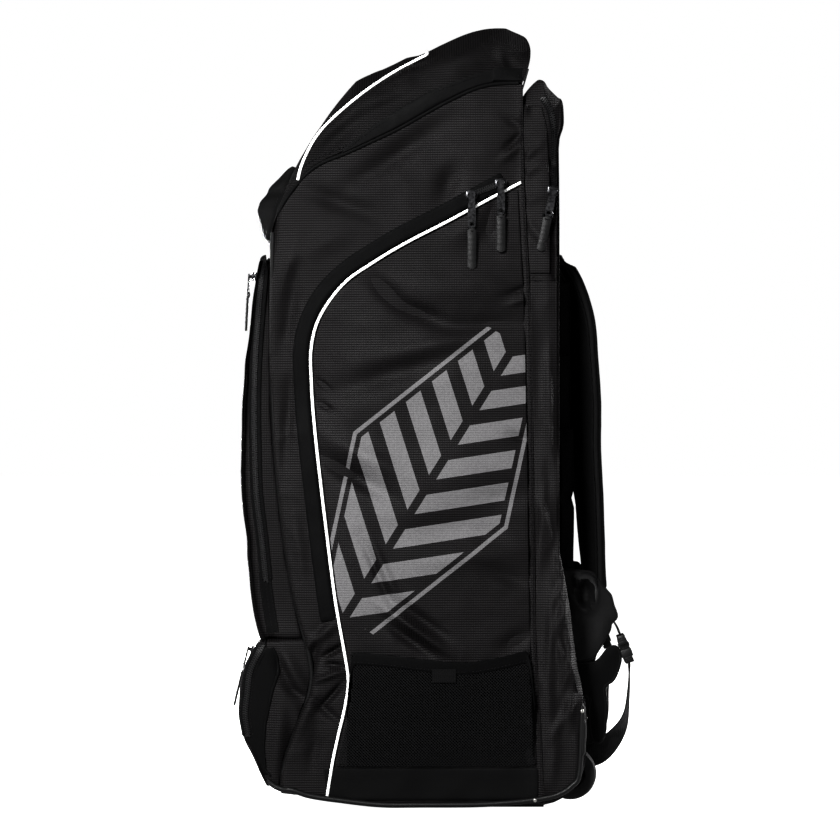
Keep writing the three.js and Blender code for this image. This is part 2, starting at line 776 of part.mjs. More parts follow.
// Side panels
const sidePiping = new THREE.SplineCurve(SIDE_PIPING.map(({ y, z }) => new THREE.Vector2(y, z)));
const BACK_EDGE = 0.975; // share of the side's depth where the side pocket ends

/** Share of the white piping's length at which it first reaches a height. */
function pipingShare(z) {
  const found = Array.from({ length: 401 }, (_, i) => i / 400).find((u) => sidePiping.getPointAt(u).y >= z);
  return found ?? 1;
}

/** Point beside the white piping: positive inset is towards the pocket. */
function besidePiping(share, inset) {
  const tangent = sidePiping.getTangentAt(share);
  return sidePiping.getPointAt(share).add(new THREE.Vector2(tangent.y, -tangent.x).multiplyScalar(inset));
}

/** Lift of the side pocket off the panel at a place in the side view. */
function pocketLift(y, z) {
  const across = clamp((y + 118) / 228, 0, 1);
  const rise = smoothstep(z, 185, 290) * (1 - smoothstep(z + y * -0.35, 430, 650));
  const edge = Math.sin(Math.PI * across);
  return Math.max(0, (POCKET_BULGE * rise + foldLift(POCKET_FOLDS, y, z) * smoothstep(z, 185, 205)) * edge);
}

function sidePocket(side) {
  const from = pipingShare(50);
  const rows = Array.from({ length: 19 }, (_, i) => {
    const share = i / 18;
    const start = besidePiping(lerp(from, 0.985, share), POCKET_INSET);
    const endZ = lerp(50, 700, share);
    const end = new THREE.Vector2(lerp(front(endZ), back(endZ), BACK_EDGE), endZ);
    return Array.from({ length: 7 }, (_, j) => start.clone().lerp(end, j / 6));
  });
  const lifted = (out) =>
    rows.map((row) =>
      row.map(({ x: y, y: z }) => new THREE.Vector3(side * (sideX(y, z) + pocketLift(y, z) + out), y, z)),
    );
  return wallBetween(lifted(1 + PATCH), lifted(1), false, false);
}

/** Smooth cloth band outside the white piping, over the pocket's zip. */
function zipBand(side) {
  const from = pipingShare(ZIP_BAND.low);
  const rows = Array.from({ length: 25 }, (_, i) => {
    const share = lerp(from, 0.99, i / 24);
    return [0, 1].map((across) => besidePiping(share, -POCKET_INSET - across * ZIP_BAND.width));
  });
  const lifted = (out) =>
    rows.map((row) => row.map(({ x: y, y: z }) => new THREE.Vector3(side * (sideX(y, z) + out), y, z)));
  return wallBetween(lifted(1 + PATCH), lifted(1), false, false);
}

function whitePiping(side) {
  const run = Array.from({ length: PIPING_STEPS + 1 }, (_, i) => {
    const { x: y, y: z } = sidePiping.getPointAt(i / PIPING_STEPS);
    return new THREE.Vector3(side * (sideX(y, z) + PIPING_R + SEAM_GAP + 0.3), y, z);
  });
  return cord(new THREE.CatmullRomCurve3(run), PIPING_R, PIPING_STEPS);
}

/** How far out the net pocket's inner face stands at a share of its length and height. */
function netX(y, z, across, up) {
  const gap = NET_STAND_OFF * Math.sin(Math.PI * across) ** 0.8 * up ** 1.3;
  return sideX(y, z) + 1 + PATCH + 1 + gap;
}

function netPlace(across, up) {
  const low = besidePiping(pipingShare(NET_LOW), POCKET_INSET + 0.5).x;
  const edge = (z) => besidePiping(pipingShare(z), POCKET_INSET + 0.5).x;
  const y = lerp(low, lerp(front(110), back(110), BACK_EDGE), across);
  const z = lerp(NET_LOW, netTop(y), up);
  const end = lerp(front(z), back(z), BACK_EDGE);
  return new THREE.Vector2(lerp(edge(z), end, across), z);
}

function netPocket(side) {
  const at = (out) =>
    Array.from({ length: 6 }, (_, i) =>
      Array.from({ length: 10 }, (_, j) => {
        const { x: y, y: z } = netPlace(j / 9, i / 5);
        return new THREE.Vector3(side * (netX(y, z, j / 9, i / 5) + out), y, z);
      }),
    );
  return wallBetween(at(PATCH), at(0), false, false);
}

/** Bare label tag on the net pocket. */
function netLabel(side) {
  const at = (out) =>
    [-0.5, 0.5].map((rise) =>
      [-0.5, 0, 0.5].map((run) => {
        const y = LABEL.y + run * LABEL.length;
        const z = LABEL.z + rise * LABEL.height;
        const across = (y - netPlace(0, 0.85).x) / (netPlace(1, 0.85).x - netPlace(0, 0.85).x);
        const up = (z - NET_LOW) / (netTop(y) - NET_LOW);
        return new THREE.Vector3(side * (netX(y, z, across, up) + PATCH + out), y, z);
      }),
    );
  return wallBetween(at(2), at(0.8), false, false);
}

/** Black piping down the upright seam between the side and the front. */
function frontSeamPiping(side) {
  const seam = { across: 1 - PLAN_CHAMFER / 2, along: PLAN_CHAMFER / 2 - 1 };
  const run = BODY_LEVELS.slice(1).map((up) => {
    const corner = bodyPoint(seam, Math.min(up, 0.985));
    const out = (PIPING_R + SEAM_GAP + hollowRoom(corner.z)) * Math.SQRT1_2;
    return new THREE.Vector3(side * (corner.x + out), corner.y - out, corner.z);
  });
  return cord(new THREE.CatmullRomCurve3(run), PIPING_R, 22);
}

// Moulded base and wheels
const plain = (geometry) => {
  const skin = new Skin();
  const spots = geometry.attributes.position;
  const order = geometry.index?.array ?? Array.from({ length: spots.count }, (_, i) => i);
  const at = (index) => new THREE.Vector3().fromBufferAttribute(spots, index);
  for (let i = 0; i < order.length; i += 3) {
    skin.face(at(order[i]), at(order[i + 1]), at(order[i + 2]));
  }
  return skin.geometry();
};

/** Solid for cutting and joining. */
function solid(geometry) {
  const clean = plain(geometry);
  return new wasm.Manifold(
    new wasm.Mesh({
      numProp: 3,
      vertProperties: new Float32Array(clean.attributes.position.array),
      triVerts: new Uint32Array(clean.index.array),
    }),
  );
}

/** Geometry of a cut or joined solid. */
function shaped(body) {
  const { vertProperties, triVerts } = body.getMesh();
  const geometry = new THREE.BufferGeometry();
  geometry.setAttribute("position", new THREE.BufferAttribute(new Float32Array(vertProperties), 3));
  geometry.setIndex(new THREE.BufferAttribute(new Uint32Array(triVerts), 1));
  geometry.computeVertexNormals();
  return geometry;
}

/** Round bar across the bag, from one X to another. */
function crossBar(fromX, toX, y, z, radius, segments) {
  const bar = new THREE.CylinderGeometry(radius, radius, toX - fromX, segments);
  return bar.rotateZ(Math.PI / 2).translate((fromX + toX) / 2, y, z);
}

function tray() {
  const upper = [...TRAY].reverse().map(({ y, z }) => ({ y, z: z + TRAY_WALL }));
  return sidePlate([...TRAY, ...upper], -TRAY_HALF, 2 * TRAY_HALF);
}

/** Corner moulding: an open box with a well and two stub axles for each wheel. */
function wheelBase() {
  const block = solid(sidePlate(WHEEL_BASE, -WHEEL_BASE_HALF, 2 * WHEEL_BASE_HALF));
  const centre = { y: 163, z: 80 };
  const inside = WHEEL_BASE.map(({ y, z }) => ({
    y: y + Math.sign(centre.y - y) * WHEEL_BASE_WALL,
    z: z > 120 ? z + 5 : z + (z < 55 ? WHEEL_BASE_WALL : 0),
  }));
  const reach = WHEEL_BASE_HALF - WHEEL_BASE_WALL;
  const room = solid(sidePlate(inside, -reach, 2 * reach));
  const { x, y, z } = WHEEL;
  let body = block.subtract(room);
  for (const side of [-1, 1]) {
    const outer = WELL.half + WELL.wall;
    const from = side * x;
    const pod = solid(crossBar(from - outer, from + outer, y, z, WELL.radius + WELL.wall, 28));
    const well = solid(crossBar(from - WELL.half, from + WELL.half, y, z, WELL.radius, 28));
    const stub = solid(crossBar(from - outer + 0.5, from + outer - 0.5, y, z, STUB_R, 16));
    body = body.add(pod.intersect(block)).subtract(well).add(stub);
  }
  return shaped(body);
}

/** Cloth of the sleeve's gusset that closes the side of the corner moulding, inside the rim. */
function cornerGusset(side) {
  const inset = WHEEL_BASE.map(({ y, z }) => ({
    y: lerp(163, y, 0.95),
    z: lerp(68, z, 0.95),
  }));
  const x = WHEEL_BASE_HALF + SEAM_GAP;
  return sidePlate(inset, side > 0 ? x : -x - PATCH, PATCH);
}

function baseRim(side) {
  const run = RIM.map(({ y, z }) => new THREE.Vector3(side * RIM_X, y, z));
  return cord(new THREE.CatmullRomCurve3(run, false, "centripetal"), RIM_R, 22);
}

function wheel(side) {
  const { radius, width, bore } = WHEEL;
  const half = width / 2;
  const profile = [
    [bore, -half],
    [11, -half],
    [20, -half + 3],
    [radius - 4, -half],
    [radius, -half + 5],
    [radius, half - 5],
    [radius - 4, half],
    [20, half - 3],
    [11, half],
    [bore, half],
    [bore, -half],
  ].map(([r, along]) => new THREE.Vector2(r, along));
  const turned = new THREE.LatheGeometry(profile, 20).rotateZ(Math.PI / 2);
  return plain(turned.translate(side * WHEEL.x, WHEEL.y, WHEEL.z));
}

// Back panel, straps and their fittings
function pad({ low, high, rest, depth, half }) {
  const loop = unitLoop(2, 2).map(
    ({ across, along }) => new THREE.Vector2(across * half, lerp(low, high, (along + 1) / 2)),
  );
  const middle = new THREE.Vector2(0, (low + high) / 2);
  const spine = loop.map(() => middle);
  const rows = coverRows(loop, spine, POCKET_PROFILE.slice(0, 4), (flat, step) => {
    return new THREE.Vector3(flat.x, rest + depth * step.rise, flat.y);
  });
  return loft(rows);
}

function shoulderStrap(side) {
  const points = STRAP.map(({ y, z }) => new THREE.Vector3(side * STRAP_X, y, z));
  const outward = STRAP.map(({ tilt }) => new THREE.Vector3(-side * Math.tan(degToRad(tilt)), 1, 0.2));
  return paddedBand(points, outward, STRAP_WIDTH, STRAP_THICK);
}

/** Strap-end rows as they hang on one side: drawn in towards the bag on the left. */
function hungRows(side, rows) {
  if (side > 0) return rows;
  return rows.map((row) => ({ ...row, y: row.y > TUCK.from ? lerp(TUCK.from, row.y, TUCK.share) : row.y }));
}

const tuckShift = (side, share = 1) => (side > 0 ? 0 : TUCK.shift * share);

/** Closed side-release buckle, seen edge-on from the side. */
function buckle(side) {
  const { length, width, thick, waist } = BUCKLE;
  const outline = [
    [-0.5, 0.36],
    [-0.5, -0.36],
    [-0.42, -0.5],
    [-0.1, -0.5],
    [-0.04, -0.5 * (waist / width)],
    [0.06, -0.5 * (waist / width)],
    [0.12, -0.46],
    [0.5, -0.46],
    [0.5, 0.46],
    [0.12, 0.46],
    [0.06, 0.5 * (waist / width)],
    [-0.04, 0.5 * (waist / width)],
    [-0.1, 0.5],
    [-0.42, 0.5],
  ].map(([run, across]) => new THREE.Vector2(run * length, across * width));
  const block = new THREE.ExtrudeGeometry(new THREE.Shape(outline), { depth: thick, bevelEnabled: false });
  const heading = degToRad(BUCKLE.heading);
  const run = new THREE.Vector3(0, Math.cos(heading), Math.sin(heading));
  const across = new THREE.Vector3(1, 0, 0);
  const frame = new THREE.Matrix4().makeBasis(run, across, run.clone().cross(across));
  const place = new THREE.Matrix4().makeTranslation(
    side * (WING_X + WING_CLOTH / 2),
    BUCKLE.y + tuckShift(side),
    BUCKLE.z,
  );
  return block.translate(0, 0, -thick / 2).applyMatrix4(frame).applyMatrix4(place);
}

/** Short webbing from the wing's tip to the buckle, and the loose end that hangs below it. */
function linkWebbing(side) {
  const x = side * (WING_X + WING_CLOTH / 2);
  const points = LINK_WEB.map(({ y, z }) => new THREE.Vector3(x, y + tuckShift(side), z));
  return ribbon(points, LINK_WEB.map(() => new THREE.Vector3(0, 1, 0.4)), WEB_WIDTH, WEB_THICK);
}

function hangingWebbing(side) {
  const points = HANGING_WEB.map(({ x, y, z, tuck }) => new THREE.Vector3(side * x, y + tuckShift(side, tuck), z));
  const run = new THREE.CatmullRomCurve3(points);
  const outward = HANGING_WEB.map(({ turn }, index) => {
    const tangent = run.getTangent(index / (points.length - 1));
    const flat = new THREE.Vector3(1, 0, 0).cross(tangent).normalize();
    return flat.applyAxisAngle(tangent, degToRad(turn) * side);
  });
  return ribbon(points, outward, WEB_WIDTH, WEB_THICK);
}

/** Grab handle: both ends lie on the lid, and the middle arches out to the table's profile. */
function frontHandle() {
  const slope = LID_ROWS.map((lift) => lidPoint({ across: 0, along: -1 }, lift));
  const lidFront = straight(slope, "z", "y");
  const columns = [-1, -0.85, -0.6, -0.3, 0, 0.3, 0.6, 0.85, 1];
  const profile = (across) =>
    FRONT_HANDLE.map(({ y, z }) => {
      const rest = lidFront(z) - 1.15 * FRONT_HANDLE_THICK - SEAM_GAP;
      return new THREE.Vector3(across * FRONT_HANDLE_HALF, lerp(y, rest, Math.abs(across) ** 3), z);
    });
  const inner = (row) =>
    row.map((point, index) => {
      const run = row[Math.min(index + 1, row.length - 1)].clone().sub(row[Math.max(index - 1, 0)]);
      const inward = new THREE.Vector3(0, -run.z, run.y).normalize();
      return point.clone().addScaledVector(inward, FRONT_HANDLE_THICK);
    });
  const outer = columns.map(profile);
  return wallBetween(outer, outer.map(inner), false, false);
}

function haulLoop() {
  const other = HAUL_LOOP.slice(0, -1).reverse().map((row) => ({ ...row, x: -row.x }));
  const rows = [...HAUL_LOOP, ...other];
  const points = rows.map(({ x, y, z }) => new THREE.Vector3(x, y, z));
  const outward = rows.map(({ up, back: away }) => new THREE.Vector3(0, away, up));
  return paddedBand(points, outward, HAUL_LOOP_WIDTH, HAUL_LOOP_THICK);
}

// Sliders and pulls
/** Block from a list of spans across X, Y and Z. */
function block(x, y, z) {
  const box = new THREE.BoxGeometry(x[1] - x[0], y[1] - y[0], z[1] - z[0]);
  return box.translate((x[0] + x[1]) / 2, (y[0] + y[1]) / 2, (z[0] + z[1]) / 2);
}

/** Slider body with its hanging metal tab, drawn at the origin facing +X. */
function sliderAndTab(tab) {
  const { length, width, height, tabWidth, tabThick } = SLIDER;
  const body = solid(block([0, height], [-length / 2, length / 2], [-width / 2, width / 2]));
  const neck = solid(block([height - 1, height + 2 + tabThick], [-2, 2], [-3, 3]));
  const plate = solid(block([height + 2, height + 2 + tabThick], [-tabWidth / 2, tabWidth / 2], [-tab, 3]));
  return shaped(body.add(neck).add(plate));
}

/** Soft pull below a tab, drawn at the origin facing +X. */
function softPull(tab, length) {
  const { height } = SLIDER;
  const low = height + 2;
  const { width, thick } = PULL;
  return block([low, low + thick], [-width / 2, width / 2], [-tab - SEAM_GAP - length, -tab - SEAM_GAP]);
}

function sideSlider(side, { y, z, tab, pull }) {
  const turn = side > 0 ? 0 : Math.PI;
  const x = sideX(y, z) + 0.8 + PATCH + 2.5 * SEAM_GAP;
  const set = (geometry) => geometry.rotateZ(turn).translate(side * x, y, z);
  return [set(sliderAndTab(tab)), set(softPull(tab, pull))];
}

function sleeveSlider() {
  const { y, z, tab, pull, lean } = SLEEVE_SLIDER;
  const x = halfWidth(z) + SLEEVE_SIDE_PUFF + SEAM_GAP - 0.4;
  const set = (geometry) => geometry.rotateX(degToRad(lean)).translate(x, y, z);
  return [set(sliderAndTab(tab)), set(softPull(tab, pull))];
}

/** Slider and pull on a front pocket, facing forward. */
function frontSlider({ x, y, z, tab, pull, lean }) {
  const set = (geometry) => geometry.rotateZ(-Math.PI / 2).rotateX(degToRad(lean)).translate(x, y, z);
  return [set(sliderAndTab(tab)), set(softPull(tab, pull))];
}

piece("main_shell", mainShell(), "ripstop");
piece("lid", lid(), "ripstop");
piece("lid_storm_flap", stormFlap(), "smooth");
piece("lid_piping", lidPiping(), "whitePiping");
piece("bat_sleeve", sleeve(), "ripstop");
piece("front_pocket", hollow(frontPocketRows(), CLOTH, "y"), "ripstop");
piece("shoe_pocket", hollow(shoePocketRows(), CLOTH, "y"), "smooth");
piece("base_tray", tray(), "plastic");
piece("wheel_base", wheelBase(), "plastic");
piece("front_handle", frontHandle(), "padding");
piece("haul_loop", haulLoop(), "padding");
PADS.forEach((row) => piece(row.name, pad(row), "padding"));
for (const [label, side] of [["left", -1], ["right", 1]]) {
  const wingX = side > 0 ? WING_X : -WING_X - WING_CLOTH;
  piece(`side_pocket_${label}`, sidePocket(side), "ripstop");
  piece(`side_zip_band_${label}`, zipBand(side), "smooth");
  piece(`side_piping_${label}`, whitePiping(side), "whitePiping");
  piece(`net_pocket_${label}`, netPocket(side), "net");
  piece(`front_seam_piping_${label}`, frontSeamPiping(side), "blackPiping");
  piece(`corner_gusset_${label}`, cornerGusset(side), "ripstop");
  piece(`base_rim_${label}`, baseRim(side), "plastic");
  piece(`wheel_${label}`, wheel(side), "tyre");
  piece(`shoulder_strap_${label}`, shoulderStrap(side), "padding");
  piece(`strap_wing_${label}`, sidePlate(hungRows(side, WING), wingX, WING_CLOTH), "smooth");
  piece(`strap_tab_${label}`, sidePlate(hungRows(side, TAB), wingX, WING_CLOTH), "smooth");
  piece(`strap_buckle_${label}`, buckle(side), "plastic");
  piece(`link_webbing_${label}`, linkWebbing(side), "webbing");
  piece(`hanging_webbing_${label}`, hangingWebbing(side), "webbing");
  for (const row of SIDE_SLIDERS) {
    const [slider, pull] = sideSlider(side, row);
    piece(`side_slider_${row.name}_${label}`, slider, "metal");
    piece(`side_pull_${row.name}_${label}`, pull, "pull");
  }
}
piece("net_label_right", netLabel(1), "smooth");
piece("front_pocket_zip", gussetCoil(frontPocketRows(), 1, 240), "metal");
piece("shoe_pocket_zip", gussetCoil(shoePocketRows(), 2, 60), "metal");
for (const [place, [slider, pull]] of [
  ["sleeve", sleeveSlider()],
  ["front_pocket", frontSlider(FRONT_SLIDER)],
  ["shoe_pocket", frontSlider(SHOE_SLIDER)],
]) {
  piece(`${place}_slider`, slider, "metal");
  piece(`${place}_pull`, pull, "pull");
}

export default bag;
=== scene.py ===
"""Looks of a tall wheeled duffel bag: cloth, piping, zips, net, padding, straps, base and studio."""

from __future__ import annotations

import json
import logging
import math
from dataclasses import dataclass, field, replace
from enum import Enum
from typing import Callable, Iterable, Sequence

import bmesh
import bpy
import numpy as np
from mathutils import Matrix, Vector, noise
from mathutils.bvhtree import BVHTree
from mathutils.geometry import delaunay_2d_cdt

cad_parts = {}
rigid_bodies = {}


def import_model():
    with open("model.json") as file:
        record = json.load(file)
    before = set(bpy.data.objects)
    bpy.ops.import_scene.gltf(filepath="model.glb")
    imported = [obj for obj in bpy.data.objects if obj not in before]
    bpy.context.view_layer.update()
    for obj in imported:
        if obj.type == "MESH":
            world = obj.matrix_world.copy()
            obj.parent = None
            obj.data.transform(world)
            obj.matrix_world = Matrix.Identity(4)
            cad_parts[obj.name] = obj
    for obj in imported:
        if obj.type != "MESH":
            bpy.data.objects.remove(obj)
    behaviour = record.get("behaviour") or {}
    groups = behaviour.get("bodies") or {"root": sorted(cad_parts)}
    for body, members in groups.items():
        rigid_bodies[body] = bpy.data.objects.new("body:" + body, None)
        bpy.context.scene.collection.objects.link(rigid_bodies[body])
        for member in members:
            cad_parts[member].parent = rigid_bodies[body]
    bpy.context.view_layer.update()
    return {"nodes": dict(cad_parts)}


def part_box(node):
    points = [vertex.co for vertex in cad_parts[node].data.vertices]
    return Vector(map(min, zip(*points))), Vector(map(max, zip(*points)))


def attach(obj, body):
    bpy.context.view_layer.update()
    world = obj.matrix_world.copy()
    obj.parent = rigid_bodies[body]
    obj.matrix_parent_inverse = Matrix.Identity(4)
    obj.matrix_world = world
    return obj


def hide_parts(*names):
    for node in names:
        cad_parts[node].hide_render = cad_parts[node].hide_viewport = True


LOG = logging.getLogger("duffel_bag")
MM = 0.001
BAG = "bag"
Socket = bpy.types.NodeSocket
Value = float | Socket
Colour = tuple[float, float, float]
Triple = tuple[float, float, float]
Line = tuple[tuple[float, float], ...]
EYE = (3.6, 0.0, 0.44)
FOLD_GAIN = 1.65
SHARP_DEG = 55.0


class Side(Enum):
    """The two sides of the bag, with the sign of their X."""

    LEFT = -1
    RIGHT = 1

    @property
    def label(self) -> str:
        """Name of the side as the solids use it."""
        return self.name.lower()


class Facing(Enum):
    """Which wall of a soft piece its folds push out."""

    SIDES = "sides"
    FRONT = "front"
    BACK = "back"


class Unit(Enum):
    """Small shapes that repeat along a run."""

    STITCH = "stitch"
    TOOTH = "tooth"
    RIVET = "rivet"


# Finishes


class Recipe:
    """Short way to wire the nodes of one material."""

    def __init__(self, name: str) -> None:
        """Starts an empty material.

        Args:
            name: name of the material.
        """
        self.material = bpy.data.materials.new(name)
        self.material.use_nodes = True
        self.tree = self.material.node_tree
        self.tree.nodes.clear()
        self.shader = self.tree.nodes.new("ShaderNodeBsdfPrincipled")
        output = self.tree.nodes.new("ShaderNodeOutputMaterial")
        self.tree.links.new(self.shader.outputs["BSDF"], output.inputs["Surface"])
        self.coordinates = self.tree.nodes.new("ShaderNodeTexCoord")

    def feed(self, socket: Socket, value: Value | Colour) -> None:
        """Links a socket's source, or sets its plain value.

        Args:
            socket: input that is set.
            value: another node's output, a number or a colour.
        """
        if isinstance(value, Socket):
            self.tree.links.new(value, socket)
        elif isinstance(value, tuple):
            socket.default_value = (*value, 1.0) if len(socket.default_value) == 4 else value
        else:
            socket.default_value = value

    def math(self, operation: str, first: Value, second: Value = 0.0, third: Value = 0.0) -> Socket:
        """Adds one step of arithmetic.

        Args:
            operation: name of the Math node's operation.
            first: first number.
            second: second number, where the operation has one.
            third: third number, where the operation has one.

        Returns:
            The result.
        """
        node = self.tree.nodes.new("ShaderNodeMath")
        node.operation = operation
        for socket, value in zip(node.inputs, (first, second, third)):
            self.feed(socket, value)
        return node.outputs[0]

    def parts(self, vector: Socket) -> tuple[Socket, Socket, Socket]:
        """Splits a vector into its X, Y and Z.

        Args:
            vector: vector to split.

        Returns:
            The three numbers.
        """
        node = self.tree.nodes.new("ShaderNodeSeparateXYZ")
        self.tree.links.new(vector, node.inputs[0])
        return node.outputs[0], node.outputs[1], node.outputs[2]

    def noise(self, scale: float, detail: float = 2.0, roughness: float = 0.5) -> Socket:
        """Adds a cloudy pattern on the piece's own coordinates.

        Args:
            scale: size of the pattern, in waves for each metre.
            detail: number of finer layers.
            roughness: strength of the finer layers.

        Returns:
            The pattern, from 0 to 1.
        """
        node = self.tree.nodes.new("ShaderNodeTexNoise")
        node.inputs["Scale"].default_value = scale
        node.inputs["Detail"].default_value = detail
        node.inputs["Roughness"].default_value = roughness
        self.tree.links.new(self.coordinates.outputs["Object"], node.inputs["Vector"])
        return node.outputs["Fac"]

    def ramp(self, value: Value, low: float, high: float, start: float = 0.0, end: float = 1.0) -> Socket:
        """Maps a number smoothly from one span to another, held at its ends.

        Args:
            value: number to map.
            low: start of its span.
            high: end of its span.
            start: result at the start.
            end: result at the end.

        Returns:
            The mapped number.
        """
        node = self.tree.nodes.new("ShaderNodeMapRange")
        node.interpolation_type = "SMOOTHSTEP"
        for name, number in (("From Min", low), ("From Max", high), ("To Min", start), ("To Max", end)):
            node.inputs[name].default_value = number
        self.feed(node.inputs["Value"], value)
        return node.outputs["Result"]

    def mix(self, share: Value, first: Socket | Colour, second: Socket | Colour) -> Socket:
        """Mixes two colours.

        Args:
            share: share of the second colour.
            first: first colour.
            second: second colour.

        Returns:
            The mixed colour.
        """
        node = self.tree.nodes.new("ShaderNodeMix")
        node.data_type = "RGBA"
        self.feed(node.inputs[0], share)
        self.feed(node.inputs[6], first)
        self.feed(node.inputs[7], second)
        return node.outputs[2]

    def threads(self, place: Value, pitch: float, width: float) -> Socket:
        """Draws evenly spaced lines across a coordinate, 1 on a line that takes a share of the pitch."""
        wave = self.math("PINGPONG", self.math("DIVIDE", place, pitch), 0.5)
        return self.ramp(wave, 0.5 - width, 0.5 - 0.2 * width)

    def flat_place(self) -> tuple[Socket, Socket]:
        """Finds the two coordinates that run along the face, whichever way it looks.

        Returns:
            The coordinate across and the one up the face.
        """
        x, y, z = self.parts(self.coordinates.outputs["Object"])
        normal = [self.math("ABSOLUTE", part) for part in self.parts(self.coordinates.outputs["Normal"])]
        sideways = self.math("GREATER_THAN", normal[0], self.math("MAXIMUM", normal[1], normal[2]))
        upward = self.math("GREATER_THAN", normal[2], self.math("MAXIMUM", normal[0], normal[1]))
        across = self.math("MULTIPLY_ADD", self.math("SUBTRACT", y, x), sideways, x)
        up = self.math("MULTIPLY_ADD", self.math("SUBTRACT", y, z), upward, z)
        return across, up

    def relief(self, height: Socket, depth: float) -> None:
        """Raises the surface's shading by a pattern.

        Args:
            height: pattern from 0 to 1.
            depth: height of the pattern in metres.
        """
        bump = self.tree.nodes.new("ShaderNodeBump")
        bump.inputs["Strength"].default_value = 1.0
        bump.inputs["Distance"].default_value = depth
        self.tree.links.new(height, bump.inputs["Height"])
        self.tree.links.new(bump.outputs["Normal"], self.shader.inputs["Normal"])

    def done(self, colour: Socket | Colour, roughness: Value, **fixed: float) -> bpy.types.Material:
        """Sets the shader's own sockets.

        Args:
            colour: base colour.
            roughness: roughness.
            fixed: other sockets by name, with underscores for spaces.

        Returns:
            The finished material.
        """
        self.feed(self.shader.inputs["Base Color"], colour)
        self.feed(self.shader.inputs["Roughness"], roughness)
        for name, number in fixed.items():
            self.shader.inputs[name.replace("_", " ").title().replace("Ior", "IOR")].default_value = number
        return self.material


@dataclass(frozen=True)
class ChevronPrint:
    """Plain geometric print: nested chevrons in a slanted field with a thin border.

    All sizes are in metres, in the side view.
    """

    y: float = 0.012
    z: float = 0.372
    heading: float = 58.0
    half_length: float = 0.182
    half_width: float = 0.092
    taper: float = 0.36
    pitch: float = 0.046
    slant: float = 0.85
    share: float = 0.56
    border: float = 0.0045
    border_gap: float = 0.0085
    edge: float = 0.0004

    def mask(self, recipe: Recipe) -> Socket:
        """Draws the print over a piece's side view.

        Args:
            recipe: material that gets the print.

        Returns:
            1 where there is ink and 0 elsewhere.
        """
        _, y, z = recipe.parts(recipe.coordinates.outputs["Object"])
        y = recipe.math("SUBTRACT", y, self.y)
        z = recipe.math("SUBTRACT", z, self.z)
        cosine, sine = math.cos(math.radians(self.heading)), math.sin(math.radians(self.heading))
        along = recipe.math("MULTIPLY_ADD", y, cosine, recipe.math("MULTIPLY", z, sine))
        across = recipe.math("MULTIPLY_ADD", z, cosine, recipe.math("MULTIPLY", y, -sine))
        width = recipe.math("ABSOLUTE", across)
        length = recipe.math("ABSOLUTE", along)
        reach = recipe.math("MULTIPLY_ADD", length, self.taper, width)
        field = recipe.ramp(reach, self.half_width, self.half_width + self.edge, 1.0, 0.0)
        ends = recipe.ramp(length, self.half_length, self.half_length + self.edge, 1.0, 0.0)
        slanted = recipe.math("MULTIPLY_ADD", width, -self.slant, along)
        phase = recipe.math("FRACT", recipe.math("DIVIDE", slanted, self.pitch))
        bars = recipe.ramp(phase, self.share, self.share + self.edge / self.pitch, 1.0, 0.0)
        middle = recipe.ramp(width, self.border, self.border + self.edge)
        chevrons = recipe.math("MULTIPLY", recipe.math("MULTIPLY", field, bars), middle)
        off = recipe.math("ABSOLUTE", recipe.math("SUBTRACT", reach, self.half_width + self.border_gap))
        line = recipe.ramp(off, 0.5 * self.border, 0.5 * self.border + self.edge, 1.0, 0.0)
        return recipe.math("MULTIPLY", recipe.math("MAXIMUM", chevrons, line), ends)


@dataclass(frozen=True)
class ClothFinish:
    """Woven cloth with a grid of thicker threads.

    Sizes are in metres and colours linear.
    """

    name: str
    slot: str
    ground: Colour
    groove: Colour
    pitch: float = 0.0027
    line_width: float = 0.34
    upright: float = 0.45
    relief: float = 0.00028
    roughness: float = 0.64
    gloss: float = 0.17
    ink: Colour | None = None
    print: ChevronPrint = field(default_factory=ChevronPrint)

    def material(self) -> bpy.types.Material:
        """Builds the cloth's material.

        Returns:
            The material.
        """
        recipe = Recipe(self.name)
        across, up = recipe.flat_place()
        weft = recipe.threads(up, self.pitch, self.line_width)
        warp = recipe.math("MULTIPLY", recipe.threads(across, self.pitch, self.line_width), self.upright)
        grooves = recipe.math("MAXIMUM", weft, warp)
        fibre = recipe.noise(1600.0, 2.0)
        clouds = recipe.noise(9.0, 4.0)
        colour = recipe.mix(recipe.ramp(clouds, 0.35, 0.75, 0.0, 0.25), self.ground, self.groove)
        share = recipe.math("MULTIPLY", grooves, recipe.ramp(fibre, 0.25, 0.75, 0.7, 1.0))
        if self.ink:
            worn = recipe.ramp(recipe.noise(420.0, 3.0), 0.3, 0.7, 0.85, 1.0)
            covered = recipe.math("MULTIPLY", self.print.mask(recipe), worn)
            colour = recipe.mix(covered, colour, self.ink)
            share = recipe.math("MULTIPLY", share, recipe.math("MULTIPLY_ADD", covered, -0.8, 1.0))
        colour = recipe.mix(share, colour, self.groove)
        height = recipe.math("SUBTRACT", recipe.math("MULTIPLY", fibre, 0.35), grooves)
        recipe.relief(height, self.relief)
        rough = recipe.ramp(clouds, 0.3, 0.7, self.roughness - 0.06, self.roughness + 0.06)
        gloss = recipe.math("MULTIPLY_ADD", share, -0.88 * self.gloss, self.gloss)
        recipe.feed(recipe.shader.inputs["Specular IOR Level"], gloss)
        return recipe.done(colour, rough)


